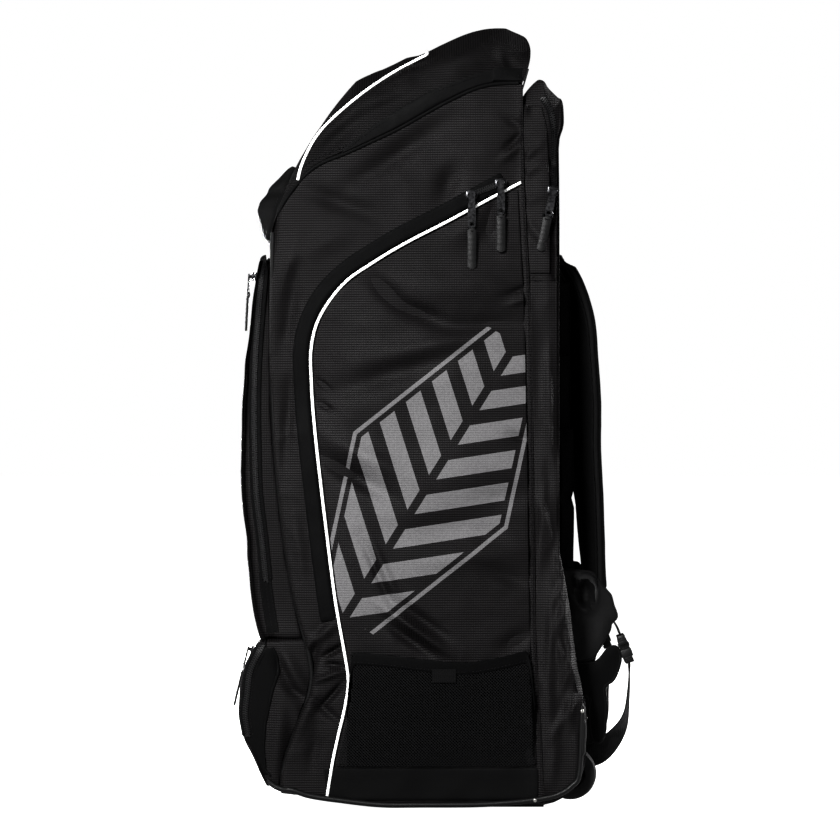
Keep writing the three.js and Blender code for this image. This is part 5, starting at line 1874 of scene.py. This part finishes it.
@dataclass
class ZipSlider(Assembly):
    """A metal slider with its tab, link and soft pull, drawn facing +X and hanging along -Z."""

    slider: str
    pull: str
    turn: Matrix
    tab: float
    pull_length: float
    ring: bool = False
    body_size: Triple = (6 * MM, 13.5 * MM, 10 * MM)
    tab_size: tuple[float, float] = (9 * MM, 1.8 * MM)
    pull_size: tuple[float, float] = (10 * MM, 2.2 * MM)

    def build(self) -> None:
        """Makes the slider and its pull in place of their solids."""
        metal = bmesh.new()
        self._body(metal)
        self._tab(metal)
        mesh = from_bmesh(metal)
        mesh.transform(self.turn)
        settle(f"{self.slider}_metal", mesh, METAL, [self.slider], smooth_deg=35.0)
        soft = self._strip()
        soft.transform(self.turn)
        settle(f"{self.pull}_strip", soft, PULL, [self.pull], smooth_deg=35.0)
        self._link()

    def _body(self, metal: bmesh.types.BMesh) -> None:
        """Adds the two plates of the slider and the bridge over them.

        Args:
            metal: bmesh that gets the shapes.
        """
        height, length, width = self.body_size
        outline = [(-0.5, 0.3), (-0.42, 0.42), (0.1, 0.5), (0.4, 0.4), (0.5, 0.2), (0.5, -0.2), (0.4, -0.4),
                   (0.1, -0.5), (-0.42, -0.42), (-0.5, -0.3)]
        for low, high in ((0.0, 0.34), (0.5, 0.86)):
            steps = ((low, 0.9), (low + 0.06, 1.0), (high - 0.06, 1.0), (high, 0.9))
            join_loops(metal, [[metal.verts.new((share * height, scale * y * length, scale * z * width))
                                for y, z in outline] for share, scale in steps])
        post = ((-0.12, -0.12), (0.12, -0.12), (0.12, 0.12), (-0.12, 0.12))
        join_loops(metal, [[metal.verts.new((x * height, y * length, z * width)) for y, z in post]
                           for x in (0.3, 0.55)])
        bridge = []
        for turn in np.linspace(0, math.pi, 9):
            centre = Vector((0.84 * height + 3.0 * MM * math.sin(turn), -4.2 * MM * math.cos(turn), 0))
            inward = Vector((math.sin(turn), -math.cos(turn), 0))
            bridge.append([metal.verts.new(centre + 0.8 * MM * math.cos(a) * inward
                                           + Vector((0, 0, 1.6 * MM * math.sin(a))))
                           for a in np.linspace(0, 2 * math.pi, 8, endpoint=False)])
        join_loops(metal, bridge)

    def _tab(self, metal: bmesh.types.BMesh) -> None:
        """Adds the flat tab with a slot at its lower end.

        Args:
            metal: bmesh that gets the tab.
        """
        width, thick = self.tab_size
        low = self.body_size[0] + 2 * MM
        top, bottom, slot = 3 * MM, -self.tab, 3.2 * MM
        outer, inner = [], []
        for turn in np.linspace(0, 2 * math.pi, 32, endpoint=False):
            across, up = squared(turn, power=0.35)
            z = (top + bottom) / 2 + up * (top - bottom) / 2
            waist = 1.0 - 0.22 * math.exp(-((z - top + 9 * MM) / (5 * MM)) ** 2)
            outer.append((0.5 * width * waist * across, z))
            inner.append((0.27 * width * across, bottom + 2.2 * MM + slot / 2 + up * slot / 2))
        levels = ((inner, low), (outer, low), (outer, low + thick), (inner, low + thick))
        rings = [[metal.verts.new((x, y, z)) for y, z in outline] for outline, x in levels]
        join_loops(metal, rings, ring=True)

    def _strip(self) -> bpy.types.Mesh:
        """Makes the soft pull: a rounded strip with raised bars.

        Returns:
            The strip.
        """
        width, thick = self.pull_size
        low = self.body_size[0] + 2 * MM
        top = -self.tab - 0.5 * MM
        rows = []
        for share in np.linspace(0, 1, 25):
            z = top - share * self.pull_length
            end = min(share, 1 - share) * self.pull_length
            rounding = math.sqrt(max(0.0, 1 - max(0.0, 1 - end / (2.5 * MM)) ** 2))
            half = 0.5 * width * min(1.0, rounding * 0.6 + 0.4)
            bar = 0.35 * MM * (0.5 + 0.5 * math.cos(2 * math.pi * share * 8)) if 0.2 < share < 0.8 else 0.0
            face = low + thick + bar
            rows.append([(low, -0.85 * half, z), (low, 0.85 * half, z), (low + 0.3 * thick, half, z),
                         (low + 0.75 * thick, half, z), (face, 0.75 * half, z), (face, -0.75 * half, z),
                         (low + 0.75 * thick, -half, z), (low + 0.3 * thick, -half, z)])
        return lofted(rows)

    def _link(self) -> None:
        """Adds the cord loop, or the ring with its bar, between the tab and the pull."""
        height = self.body_size[0] + 2 * MM + 0.5 * self.tab_size[1]
        centre = -self.tab + 1.2 * MM
        across, up, finish = (5.4, 5.4, METAL) if self.ring else (2.6, 5.2, PULL)
        loop = [Vector((height + 1.3 * MM * math.cos(2 * a), across * MM * math.sin(a),
                        centre + up * MM * math.cos(a)))
                for a in np.linspace(0, 2 * math.pi, 20, endpoint=False)]
        run = Run.of([self.turn @ point for point in loop])
        self.frame.tube(f"{self.pull}_link", run, radius=0.9 * MM, finish=finish, sides=6, closed=True)


@dataclass
class Zips(Assembly):
    """All zips with their sliders and pulls."""

    side_tabs: tuple[tuple[str, float, float], ...] = (("lower", 38, 46), ("upper", 36, 42))
    front_tape: float = 14 * MM
    sleeve_path: Line = (
        (151.5, 690), (152.0, 720), (152.3, 750), (151.6, 772), (147.5, 792), (140.0, 806))
    tape_end: Line = ((-176.5, 268), (-175.0, 250), (-172.0, 228), (-167.3, 199))
    side_start: tuple[float, float] = (0.052, 0.6927)
    side_reach: tuple[float, float] = (0.05, 0.0195)
    tape_rows: Triple = (-5.5, 0, 5.5)
    sleeve_lean: float = -12.0
    front_lean: float = -3.0
    shoe_lean: float = -13.5

    def build(self) -> None:
        """Makes every zip."""
        for name in ("front_pocket", "shoe_pocket"):
            run = self.frame.faced(self.frame.middle(f"{name}_zip"), name)
            coil = Zip(self.frame, f"{name}_zip", run.smooth(4).moved(out=-0.0016), self.front_tape)
            coil.build([f"{name}_zip"])
        places = Run.of([(0.0, y * MM, z * MM) for y, z in self.sleeve_path]).smooth(8).points
        run = self.frame.side_run("bat_sleeve", Side.RIGHT, places[:, 1:])
        Zip(self.frame, "sleeve_zip", run.moved(out=0.0004), tape=8 * MM).build()
        for side in Side:
            self._side_zip(side)
            self._tape_end(side)
            for level, tab, pull in self.side_tabs:
                turn = Matrix.Rotation(0.0 if side is Side.RIGHT else math.pi, 4, "Z")
                ends = f"{level}_{side.label}"
                self._slider(f"side_slider_{ends}", f"side_pull_{ends}", turn, tab, pull)
        turn = Matrix.Rotation(math.radians(self.sleeve_lean), 4, "X")
        self._slider("sleeve_slider", "sleeve_pull", turn, tab=30, length=40, ring=True)
        for name, lean, tab, pull in (("front_pocket", self.front_lean, 22, 40),
                                      ("shoe_pocket", self.shoe_lean, 24, 42)):
            turn = Matrix.Rotation(math.radians(lean), 4, "X") @ Matrix.Rotation(-math.pi / 2, 4, "Z")
            self._slider(f"{name}_slider", f"{name}_pull", turn, tab, pull, ring=True)

    def _slider(self, slider: str, pull: str, turn: Matrix, tab: float, length: float,
                ring: bool = False) -> None:
        """Fits a slider to its solid, whose turned box gives its place.

        Args:
            slider: name of the slider's solid.
            pull: name of the pull's solid.
            turn: how the slider is turned.
            tab: length of the tab in millimetres.
            length: length of the pull in millimetres.
            ring: whether a ring joins the tab and the pull.
        """
        corners = [turn.inverted() @ vertex.co for vertex in self.frame.nodes[slider].data.vertices]
        low = Vector(min(corner[i] for corner in corners) for i in range(3))
        high = Vector(max(corner[i] for corner in corners) for i in range(3))
        origin = Vector((low.x, (low.y + high.y) / 2, low.z + tab * MM))
        place = turn @ Matrix.Translation(origin)
        ZipSlider(self.frame, slider, pull, place, tab * MM, length * MM, ring).build()

    def _tape_end(self, side: Side) -> None:
        """Runs the tape of the front pocket's zip on to the pocket's foot.

        Args:
            side: side that gets the tape.
        """
        places = Run.of([(0.0, y * MM, z * MM) for y, z in self.tape_end]).smooth(6).points
        run = self.frame.side_run("front_pocket", side, places[:, 1:])
        tape = ribbon(run.moved(out=0.0002), self.front_tape, thickness=0.0012)
        settle(f"front_pocket_tape_{side.label}", tape, SMOOTH)
        rows = [run.moved(out=0.0012, across=across * MM) for across in self.tape_rows]
        self.frame.stitches(f"front_pocket_tape_stitches_{side.label}", rows)

    def _side_zip(self, side: Side) -> None:
        """Shows the short open stretch of the side pocket's zip, between its sliders.

        Args:
            side: side that gets the zip.
        """
        node = f"side_zip_band_{side.label}"
        (y, z), (reach_y, reach_z) = self.side_start, self.side_reach
        places = [(y + reach_y * share, z + reach_z * share) for share in np.linspace(0, 1, 16)]
        run = self.frame.side_run(node, side, places)
        Zip(self.frame, f"side_zip_{side.label}", run.moved(out=0.0006), tape=9 * MM).build()


# Base and wheels


@dataclass
class Base(Assembly):
    """Moulded tray, corner moulding, rims and rivets."""

    rim_radius: float = 3.2 * MM
    rim_lead: tuple[tuple[float, float, float], ...] = ((154, -173, 30), (160, -165, 24.5), (164.5, -155, 21))
    rivets: Line = ((0.1845, 0.11), (0.131, 0.0098))
    rivet: Triple = (4.6 * MM, 4.6 * MM, 2.0 * MM)
    ribs: int = 7
    rib_size: tuple[float, float] = (5 * MM, 1.2 * MM)
    rib_places: tuple[float, float] = (0.12, 0.88)
    rib_run: tuple[float, float] = (0.004, 0.06)

    def build(self) -> None:
        """Dresses the base."""
        for node in ("base_tray", "wheel_base"):
            dress(self.frame.nodes[node], PLASTIC, edge=0.8 * MM)
        for side in Side:
            node = f"base_rim_{side.label}"
            points = sorted((tuple(point) for point in self.frame.middle(node)), key=lambda point: point[1])
            lead = [(side.value * x * MM, y * MM, z * MM) for x, y, z in self.rim_lead]
            run = Run.of([*lead, *points], (side.value, 0, 0)).smooth(5)
            self.frame.tube(f"{node}_tube", run, self.rim_radius, PLASTIC, [node], 14)
            self._rivets(side, run)
        self._skids()

    def _rivets(self, side: Side, rim: Run) -> None:
        """Sets rivets on the rim.

        Args:
            side: side that gets them.
            rim: middle line of the rim.
        """
        spots = []
        for y, z in self.rivets:
            nearest = rim.points[np.argmin(np.hypot(rim.points[:, 1] - y, rim.points[:, 2] - z))]
            spots.append(nearest + np.array([side.value * self.rim_radius, 0, 0]))
        mesh = self.frame.rows[Unit.RIVET].make([Spots.of(spots, (side.value, 0, 0))], self.rivet, RIVET)
        settle(f"rim_rivets_{side.label}", mesh, RIVET, smooth_deg=60.0)

    def _skids(self) -> None:
        """Adds low ribs on the tray's top edge at the front, as the moulding has."""
        low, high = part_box("base_tray")
        tray = self.frame.skin("base_tray")
        runs = []
        for share in np.linspace(*self.rib_places, self.ribs):
            x = low.x + share * (high.x - low.x)
            hits = []
            for y in np.linspace(low.y + self.rib_run[0], low.y + self.rib_run[1], 8):
                point, _, _, _ = tray.ray_cast(Vector((x, y, -0.1)), Vector((0, 0, 1)))
                hits.append((x, y, point.z))
            runs.append(Run.of(hits, (0, 0, -1)))
        bands = gathered(ribbon(run.moved(out=-0.0008), *self.rib_size) for run in runs)
        settle("tray_skids", from_bmesh(bands), PLASTIC)


@dataclass
class Wheel(Assembly):
    """A wheel: rounded tyre, dished hub with spokes and a cap."""

    side: Side
    spokes: int = 6
    web: float = 0.7
    web_depth: float = 0.55
    steps: int = 72

    def build(self) -> None:
        """Makes the wheel in place of its solid."""
        node = f"wheel_{self.side.label}"
        low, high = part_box(node)
        centre = (low + high) / 2
        radius, half = (high.z - low.z) / 2, (high.x - low.x) / 2
        tyre = [(0.56, -0.8), (0.74, -1.0), (0.92, -0.98), (0.985, -0.78), (1.0, -0.4), (1.0, 0.4),
                (0.985, 0.78), (0.92, 0.98), (0.74, 1.0), (0.56, 0.8)]
        mesh = self._turned(tyre, radius, half, centre, lambda share, _: share)
        settle(f"{node}_tyre", mesh, TYRE, [node], node)
        hub = [(0.16, -0.95), (0.28, -0.95), (0.33, -self.web), (0.5, -self.web), (0.555, -0.8), (0.555, 0.8),
               (0.5, self.web), (0.33, self.web), (0.28, 0.95), (0.16, 0.95)]
        mesh = self._turned(hub, radius, half, centre, self._dish)
        settle(f"{node}_hub", mesh, PLASTIC, body=node)

    def _dish(self, share: float, turn: float) -> float:
        """Sinks the hub's face between its spokes.

        Args:
            share: height of the face, as a share of half the width.
            turn: angle round the wheel.

        Returns:
            The height with the hollows.
        """
        if abs(abs(share) - self.web) > 0.01:
            return share
        hollow = max(0.0, math.cos(self.spokes * turn) - 0.1)
        return share * (1 - self.web_depth * min(1.0, 1.6 * hollow))

    def _turned(self, profile: Sequence[tuple[float, float]], radius: float, half: float, centre: Vector,
                height: Callable[[float, float], float]) -> bpy.types.Mesh:
        """Turns a closed profile round the axle.

        Args:
            profile: shares of the radius and of half the width.
            radius: radius in metres.
            half: half the width in metres.
            centre: middle of the wheel.
            height: from a share of half the width and an angle, the share that is used.

        Returns:
            The turned mesh.
        """
        shape = bmesh.new()
        loops = []
        for turn in np.linspace(0, 2 * math.pi, self.steps, endpoint=False):
            y, z = radius * math.cos(turn), radius * math.sin(turn)
            loops.append([shape.verts.new(centre + Vector((half * height(share, turn), r * y, r * z)))
                          for r, share in profile])
        join_loops(shape, loops, ring=True)
        return from_bmesh(shape)


# Back panel and straps


@dataclass
class BackPads(Assembly):
    """Three foam pads under spacer knit, with a sewn border."""

    channel: float = 2.2
    inset: float = 0.001
    rise: float = 0.0035

    def build(self) -> None:
        """Makes the pads."""
        for level in ("upper", "middle", "lower"):
            node = f"back_pad_{level}"
            low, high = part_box(node)
            middle, half = (low + high) / 2 / MM, (high - low) / 2 / MM
            folds = [Fold(0, middle.z, 400, 7, 0, -self.channel) if level == "lower" else
                     Fold(0, middle.z, 7, 400, 0, -self.channel)]
            folds += [Fold(side * 0.5 * half.x, middle.z, 0.6 * half.x, 0.6 * half.z, 0, 1.5)
                      for side in (-1, 1)]
            shell = SoftShell(self.frame, node, KNIT, 3, Facing.BACK, folds, 0.25, crease=0.3)
            shell.build()
            self._border(node, low, high)

    def _border(self, node: str, low: Vector, high: Vector) -> None:
        """Sews binding round a pad.

        Args:
            node: name of the pad's solid.
            low: lowest corner of the pad.
            high: highest corner of the pad.
        """
        centre, half = (low + high) / 2, (high - low) / 2
        loop = []
        for turn in np.linspace(0, 2 * math.pi, 72, endpoint=False):
            across, up = squared(turn, power=0.3)
            loop.append((centre.x + (half.x - self.inset) * across, low.y + self.rise,
                         centre.z + (half.z - self.inset) * up))
        run = Run.of(loop, (0, 1, 0))
        self.frame.tube(f"{node}_binding", run, radius=1.8 * MM, finish=BINDING, sides=8, closed=True)


@dataclass
class ShoulderStrap(Assembly):
    """A padded strap with bound edges and webbing down its face."""

    side: Side
    binding: float = 3.4 * MM
    web_width: float = 25 * MM
    web_thick: float = 1.6 * MM
    web_lift: float = 6.4 * MM
    sewn: float = 0.42
    corners: int = 8
    turns: Line = (
        (0.24, 0.0), (0.34, 1.0), (0.4, 6.0), (0.45, 9.0), (0.52, 9.0), (0.575, 6.0), (0.605, 1.0),
        (0.62, 0.0))
    tuck: tuple[float, float] = (0.25, 0.6)
    top: float = 0.616
    pivot: float = 0.111

    def turned(self, places: np.ndarray) -> np.ndarray:
        """Turns the strap's inner edge towards the bag, and tucks its top in.

        Args:
            places: points in metres.

        Returns:
            The moved points.
        """
        moved = places.copy()
        angle = np.radians(np.interp(places[:, 2], *zip(*self.turns)))
        inward = self.pivot - np.abs(places[:, 0])
        moved[:, 1] -= inward * np.tan(angle)
        above = np.maximum(places[:, 2] - self.top, 0)
        return shifted(moved, y=-self.tuck[0] * above, z=-self.tuck[1] * above)

    def build(self) -> None:
        """Makes the strap."""
        node = f"shoulder_strap_{self.side.label}"
        pad = SoftShell(self.frame, node, KNIT, 3, Facing.BACK, ripple=0.3, crease=0.2, swell=0.5,
                        shape=lambda places: self.turned(places * MM) / MM)
        pad.build()
        sections = [section for section in self.frame.spine(node, self.corners)
                    if len(section) == self.corners]
        edges = {-1: [], 1: []}
        middles, faces = [], []
        for section in sections:
            ordered = sorted(section, key=lambda corner: corner.x)
            edges[-1].append((ordered[0] + ordered[1]) / 2)
            edges[1].append((ordered[-1] + ordered[-2]) / 2)
            middles.append(sum(section, Vector()) / self.corners)
            outer = sorted(section, key=lambda corner: corner.y)[-2:]
            faces.append((outer[0] + outer[1]) / 2)
        for name, edge in (("inner", edges[-self.side.value]), ("outer", edges[self.side.value])):
            run = Run.of(edge, (0, 1, 0)).smooth(5)
            run = Run(self.turned(run.points), run.facings)
            self.frame.tube(f"{node}_binding_{name}", run, self.binding, BINDING, sides=12)
        web = self._webbing(middles, faces)
        web = Run(self.turned(web.points), web.facings)
        settle(f"{node}_webbing", ribbon(web, self.web_width, self.web_thick), WEBBING)
        rows = [web.moved(out=self.web_thick, across=share * self.web_width)
                for share in (-self.sewn, self.sewn)]
        self.frame.stitches(f"{node}_stitches", rows)

    def _webbing(self, middles: Sequence[Vector], faces: Sequence[Vector]) -> Run:
        """Finds where the webbing lies on the strap's outer face.

        Args:
            middles: middles of the strap's sections.
            faces: outer edges of the sections.

        Returns:
            The run of the webbing's underside.
        """
        run = Run.of(middles)
        facing = np.cross(np.tile([1.0, 0.0, 0.0], (len(middles), 1)), np.gradient(run.points, axis=0))
        facing *= np.sign(facing[:, 1])[:, None]
        run.facings = unit_rows(facing)
        lift = max((face - middle).dot(Vector(out)) for face, middle, out in zip(faces, middles, run.facings))
        return run.smooth(5).moved(out=min(lift, self.web_lift))


@dataclass
class StrapEnd(Assembly):
    """The cloth wing, tab, buckle and webbing at the lower end of one strap."""

    side: Side
    heading: float = 109.0
    bulge: float = 3.0 * MM
    soft_edge: float = 6 * MM
    sway: Triple = (1.2 * MM, 11 * MM, 14 * MM)
    hollow: tuple[float, float, float, float, float, float] = (190, 240, 9, 15, 14, 5)

    def build(self) -> None:
        """Makes the strap's end."""
        for part in ("wing", "tab"):
            self._plate(f"strap_{part}_{self.side.label}")
        for part in ("link", "hanging"):
            node = f"{part}_webbing_{self.side.label}"
            SoftShell(self.frame, node, WEBBING, 3, ripple=0.0, crease=0.85).build()
        self._buckle()

    def _outline(self, node: str) -> list[tuple[float, float]]:
        """Reads the outline of a flat solid in the side view.

        Args:
            node: name of the solid.

        Returns:
            The corners in order, along the bag and up.
        """
        shape = self.frame.merged(node)
        inner = min(abs(corner.co.x) for corner in shape.verts)
        rim = {}
        for edge in shape.edges:
            if all(abs(abs(corner.co.x) - inner) < 1e-4 for corner in edge.verts):
                faces = [abs(face.normal.x) > 0.5 for face in edge.link_faces]
                if faces.count(True) == 1:
                    for first, second in (edge.verts, reversed(edge.verts)):
                        rim.setdefault(first.index, []).append(second.index)
        start = next(iter(rim))
        order, last = [start, rim[start][0]], start
        while order[-1] != start:
            following = [index for index in rim[order[-1]] if index != last]
            last = order[-1]
            order.append(following[0])
        outline = [(shape.verts[index].co.y, shape.verts[index].co.z) for index in order[:-1]]
        shape.free()
        return outline

    def _plate(self, node: str) -> None:
        """Makes a sewn cloth plate with a soft bulge and a bound edge.

        Args:
            node: name of its solid.
        """
        low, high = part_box(node)
        middle, half = (low.x + high.x) / 2, (high.x - low.x) / 2
        outline = self._outline(node)
        soft = Run.of([(0.0, y, z) for y, z in [*outline, outline[0]]]).smooth(4).points[:-1, 1:]

        def face(y: float, z: float, away: float) -> tuple[Vector, Vector]:
            """Gives the plate's two faces at a place.

            Args:
                y: place along the bag, in metres.
                z: height, in metres.
                away: distance to the outline, in metres.

            Returns:
                The points on the outer and the inner face.
            """
            puff = 0.4 * self.bulge * (1 - math.exp(-away / self.soft_edge))
            depth, long, high = self.sway
            sway = depth * math.sin(y / long) * math.sin(z / high) * min(1.0, away / (8 * MM))
            if "wing" in node:
                sway += self._hollow(y / MM, z / MM) * MM * min(1.0, away / (5 * MM))
            return (Vector((middle + self.side.value * (half + puff + sway), y, z)),
                    Vector((middle - self.side.value * (half + 0.4 * puff - sway), y, z)))

        plate = quilted_plate([tuple(point) for point in soft], spacing=4 * MM, face=face)
        # The wing gets the lighter copy of the smooth cloth, a painted highlight; the tab keeps the plain
        # smooth cloth.
        finish = LIT_WING if "wing" in node else SMOOTH
        piece = settle(f"{node}_cloth", plate, finish, [node], smooth_deg=60.0)
        area = abs(sum(a[0] * b[1] - b[0] * a[1] for a, b in zip(soft, np.roll(soft, -1, 0)))) / 2
        edge = Run.of([(middle, y, z) for y, z in soft], (self.side.value, 0, 0))
        self.frame.tube(f"{node}_binding", edge, radius=1.9 * MM, finish=BINDING, sides=8, closed=True)

    def _hollow(self, y: float, z: float) -> float:
        """Rolls the wing's cloth round a deep hollow beside the bag.

        Args:
            y: place along the bag, in millimetres.
            z: height, in millimetres.

        Returns:
            Distance that the cloth moves out, in millimetres.
        """
        centre_y, centre_z, reach_y, reach_z, depth, roll = self.hollow
        away = math.hypot((y - centre_y) / reach_y, (z - centre_z) / reach_z)
        fade = math.exp(-(((y - 172) / 12) ** 2) - ((z - 232) / 28) ** 2)
        gathers = 2.0 * math.sin((y + 0.4 * z) / 3.2) * fade
        return roll * math.exp(-(((away - 1.2) / 0.3) ** 2)) - depth * math.exp(-(away**4)) + gathers

    def _buckle(self) -> None:
        """Makes a closed side-release buckle in place of its solid."""
        node = f"strap_buckle_{self.side.label}"
        low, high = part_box(node)
        turn = math.radians(self.heading)
        run = Vector((0, math.cos(turn), math.sin(turn)))
        across = Vector((1, 0, 0))
        frame_axes = Matrix((run, across, run.cross(across))).transposed().to_4x4()
        place = Matrix.Translation((low + high) / 2) @ frame_axes
        shape = gathered(lofted(rows) for rows in [*self._socket(), *self._prongs()])
        bevelled = bpy.data.meshes.new("buckle")
        sharp = [edge for edge in shape.edges if edge.calc_face_angle(0) > 0.6]
        bmesh.ops.bevel(shape, geom=sharp, offset=0.6 * MM, segments=2, affect="EDGES", profile=0.6)
        shape.to_mesh(bevelled)
        shape.free()
        bevelled.transform(place)
        settle(f"{node}_moulding", bevelled, PLASTIC, [node], smooth_deg=35.0)

    @staticmethod
    def _box(along: tuple[float, float], across: tuple[float, float], up: tuple[float, float],
             end_scale: float = 1.0) -> list[list[tuple[float, float, float]]]:
        """Gives the two end loops of a block, in millimetres.

        Args:
            along: span along the buckle.
            across: span across it.
            up: span through it.
            end_scale: size of the far end against the near one.

        Returns:
            Two loops in metres.
        """
        corners = [(across[i], up[j]) for i, j in ((0, 0), (1, 0), (1, 1), (0, 1))]
        return [[(place * MM, a * scale * MM, b * scale * MM) for a, b in corners]
                for place, scale in zip(along, (1.0, end_scale))]

    def _socket(self) -> list[list[list[tuple[float, float, float]]]]:
        """Lists the blocks of the socket half.

        Returns:
            Pairs of loops in metres.
        """
        return [
            self._box((-16.4, -12.2), (-15, 15), (-5.0, 5.0), 1.03),
            self._box((-12.4, -9.4), (-15, -11.6), (-4.8, 4.8)),
            self._box((-12.4, -9.4), (11.6, 15), (-4.8, 4.8)),
            self._box((-9.6, -0.6), (-14.2, 14.2), (-6.4, 6.4), 0.96),
            self._box((-0.8, 2.1), (-9.6, 9.6), (-5.4, 5.4)),
        ]

    def _prongs(self) -> list[list[list[tuple[float, float, float]]]]:
        """Lists the blocks of the pronged half.

        Returns:
            Pairs of loops in metres.
        """
        return [
            self._box((1.9, 6.0), (-10.4, 10.4), (-6.0, 6.0), 1.05),
            self._box((5.8, 9.8), (-13.6, -10.4), (-5.0, 5.0)),
            self._box((5.8, 9.8), (10.4, 13.6), (-5.0, 5.0)),
            self._box((9.6, 12.2), (-13.8, 13.8), (-4.6, 4.6)),
            self._box((12.0, 14.2), (-13.6, -10.8), (-4.2, 4.2)),
            self._box((12.0, 14.2), (10.8, 13.6), (-4.2, 4.2)),
            self._box((14.0, 16.4), (-13.8, 13.8), (-4.4, 4.4), 0.95),
        ]


@dataclass
class Handles(Assembly):
    """The padded band on the front of the lid, and the haul loop at the top of the back."""

    creases: tuple[Fold, ...] = folded(
        (0, 706, 200, 6, 0, -2.0), (30, 690, 14, 26, 8, 1.4), (-34, 684, 16, 24, -6, 1.2))

    def build(self) -> None:
        """Makes both handles."""
        band = SoftShell(self.frame, "front_handle", HANDLE, 3, Facing.FRONT, self.creases, 0.6, crease=0.25)
        band.build()
        loop = SoftShell(self.frame, "haul_loop", PADDED, 3, Facing.BACK, ripple=0.2, crease=0.25)
        loop.build()


# Studio


@dataclass
class Studio:
    """White floor and backdrop, soft lights and a camera level with the middle of the bag."""

    half_view: float = 0.1386
    sensor: float = 36.0
    surround: float = 0.06
    glow: float = 1.0
    gamma: float = 0.8
    floor_size: float = 20.0
    floor_z: float = -0.0006
    floor_shades: tuple[Colour, Colour] = ((0.34, 0.34, 0.34), (0.36, 0.36, 0.36))
    lights: tuple[tuple[str, Triple, Triple, float, float, float], ...] = (
        ("key", (2.75, -1.05, 1.6), (0.15, 0.05, 0.53), 0.7, 78.0, 90.0),
        ("fill", (2.0, 2.4, 1.6), (0.0, 0.1, 0.55), 1.0, 11.0, 120.0),
        ("top", (0.6, -0.2, 3.2), (0.0, 0.0, 0.4), 1.6, 6.0, 120.0),
        ("left", (-2.9, -0.5, 0.6), (-0.15, 0.0, 0.5), 0.8, 60.0, 90.0),
        ("back", (-0.5, 3.0, 1.2), (-0.05, 0.15, 0.5), 0.8, 80.0, 90.0),
        ("front", (-0.7, -3.0, 0.9), (-0.05, -0.15, 0.48), 0.8, 36.0, 90.0),
    )

    def build(self) -> None:
        """Makes the stage, the lights and the camera."""
        self._world()
        self._floor()
        for name, place, aim, size, watts, spread in self.lights:
            lamp = bpy.data.lights.new(name, "AREA")
            lamp.energy, lamp.size, lamp.spread = watts, size, math.radians(spread)
            light = linked(name, lamp)
            light.location = place
            light.rotation_euler = (Vector(aim) - Vector(place)).to_track_quat("-Z", "Y").to_euler()
        lens = bpy.data.cameras.new("camera")
        lens.sensor_width = self.sensor
        lens.lens = 0.5 * self.sensor / self.half_view
        lens.clip_end = 60.0
        camera = linked("camera", lens)
        camera.location = EYE
        camera.rotation_euler = (math.pi / 2, 0.0, math.pi / 2)
        bpy.context.scene.camera = camera

    def _world(self) -> None:
        """Sets plain colours and a surround that is white to the eye and dim as a light."""
        scene = bpy.context.scene
        scene.view_settings.view_transform = "Standard"
        scene.view_settings.look = "None"
        scene.view_settings.gamma = self.gamma
        world = bpy.data.worlds.new("studio")
        world.use_nodes = True
        nodes, links = world.node_tree.nodes, world.node_tree.links
        background = nodes["Background"]
        background.inputs["Color"].default_value = (1.0, 1.0, 1.0, 1.0)
        seen = nodes.new("ShaderNodeLightPath")
        level = nodes.new("ShaderNodeMapRange")
        level.inputs["To Min"].default_value = self.surround
        links.new(seen.outputs["Is Camera Ray"], level.inputs["Value"])
        links.new(level.outputs["Result"], background.inputs["Strength"])
        scene.world = world

    def _floor(self) -> None:
        """Adds a wide pale floor that looks white without lighting the bag from below."""
        shape = bmesh.new()
        bmesh.ops.create_grid(shape, x_segments=8, y_segments=8, size=self.floor_size)
        floor = linked("floor", from_bmesh(shape))
        recipe = Recipe("floor")
        recipe.shader.inputs["Emission Color"].default_value = (1.0, 1.0, 1.0, 1.0)
        seen = recipe.tree.nodes.new("ShaderNodeLightPath").outputs["Is Camera Ray"]
        recipe.feed(recipe.shader.inputs["Emission Strength"], recipe.math("MULTIPLY", seen, self.glow))
        shade = recipe.mix(recipe.noise(3.0), *self.floor_shades)
        floor.data.materials.append(recipe.done(shade, 0.9))
        floor.location = (0.0, 0.0, self.floor_z)


def main() -> None:
    """Builds the whole scene."""
    logging.basicConfig(level=logging.INFO, format="%(name)s %(message)s")
    for stray in list(bpy.data.objects):
        bpy.data.objects.remove(stray)
    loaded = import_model()
    Studio().build()
    frame = BagFrame(loaded["nodes"], StrandTree(), {unit: RowTree(unit) for unit in Unit})
    Body(frame).build()
    Pockets(frame).build()
    Piping(frame).build()
    for side in Side:
        NetPocket(frame, side).build()
    Zips(frame).build()
    Base(frame).build()
    BackPads(frame).build()
    for side in Side:
        Wheel(frame, side).build()
        ShoulderStrap(frame, side).build()
        StrapEnd(frame, side).build()
    Handles(frame).build()
    dress(frame.nodes["net_label_right"], BINDING, edge=0.4 * MM)


if __name__ == "__main__":
    main()
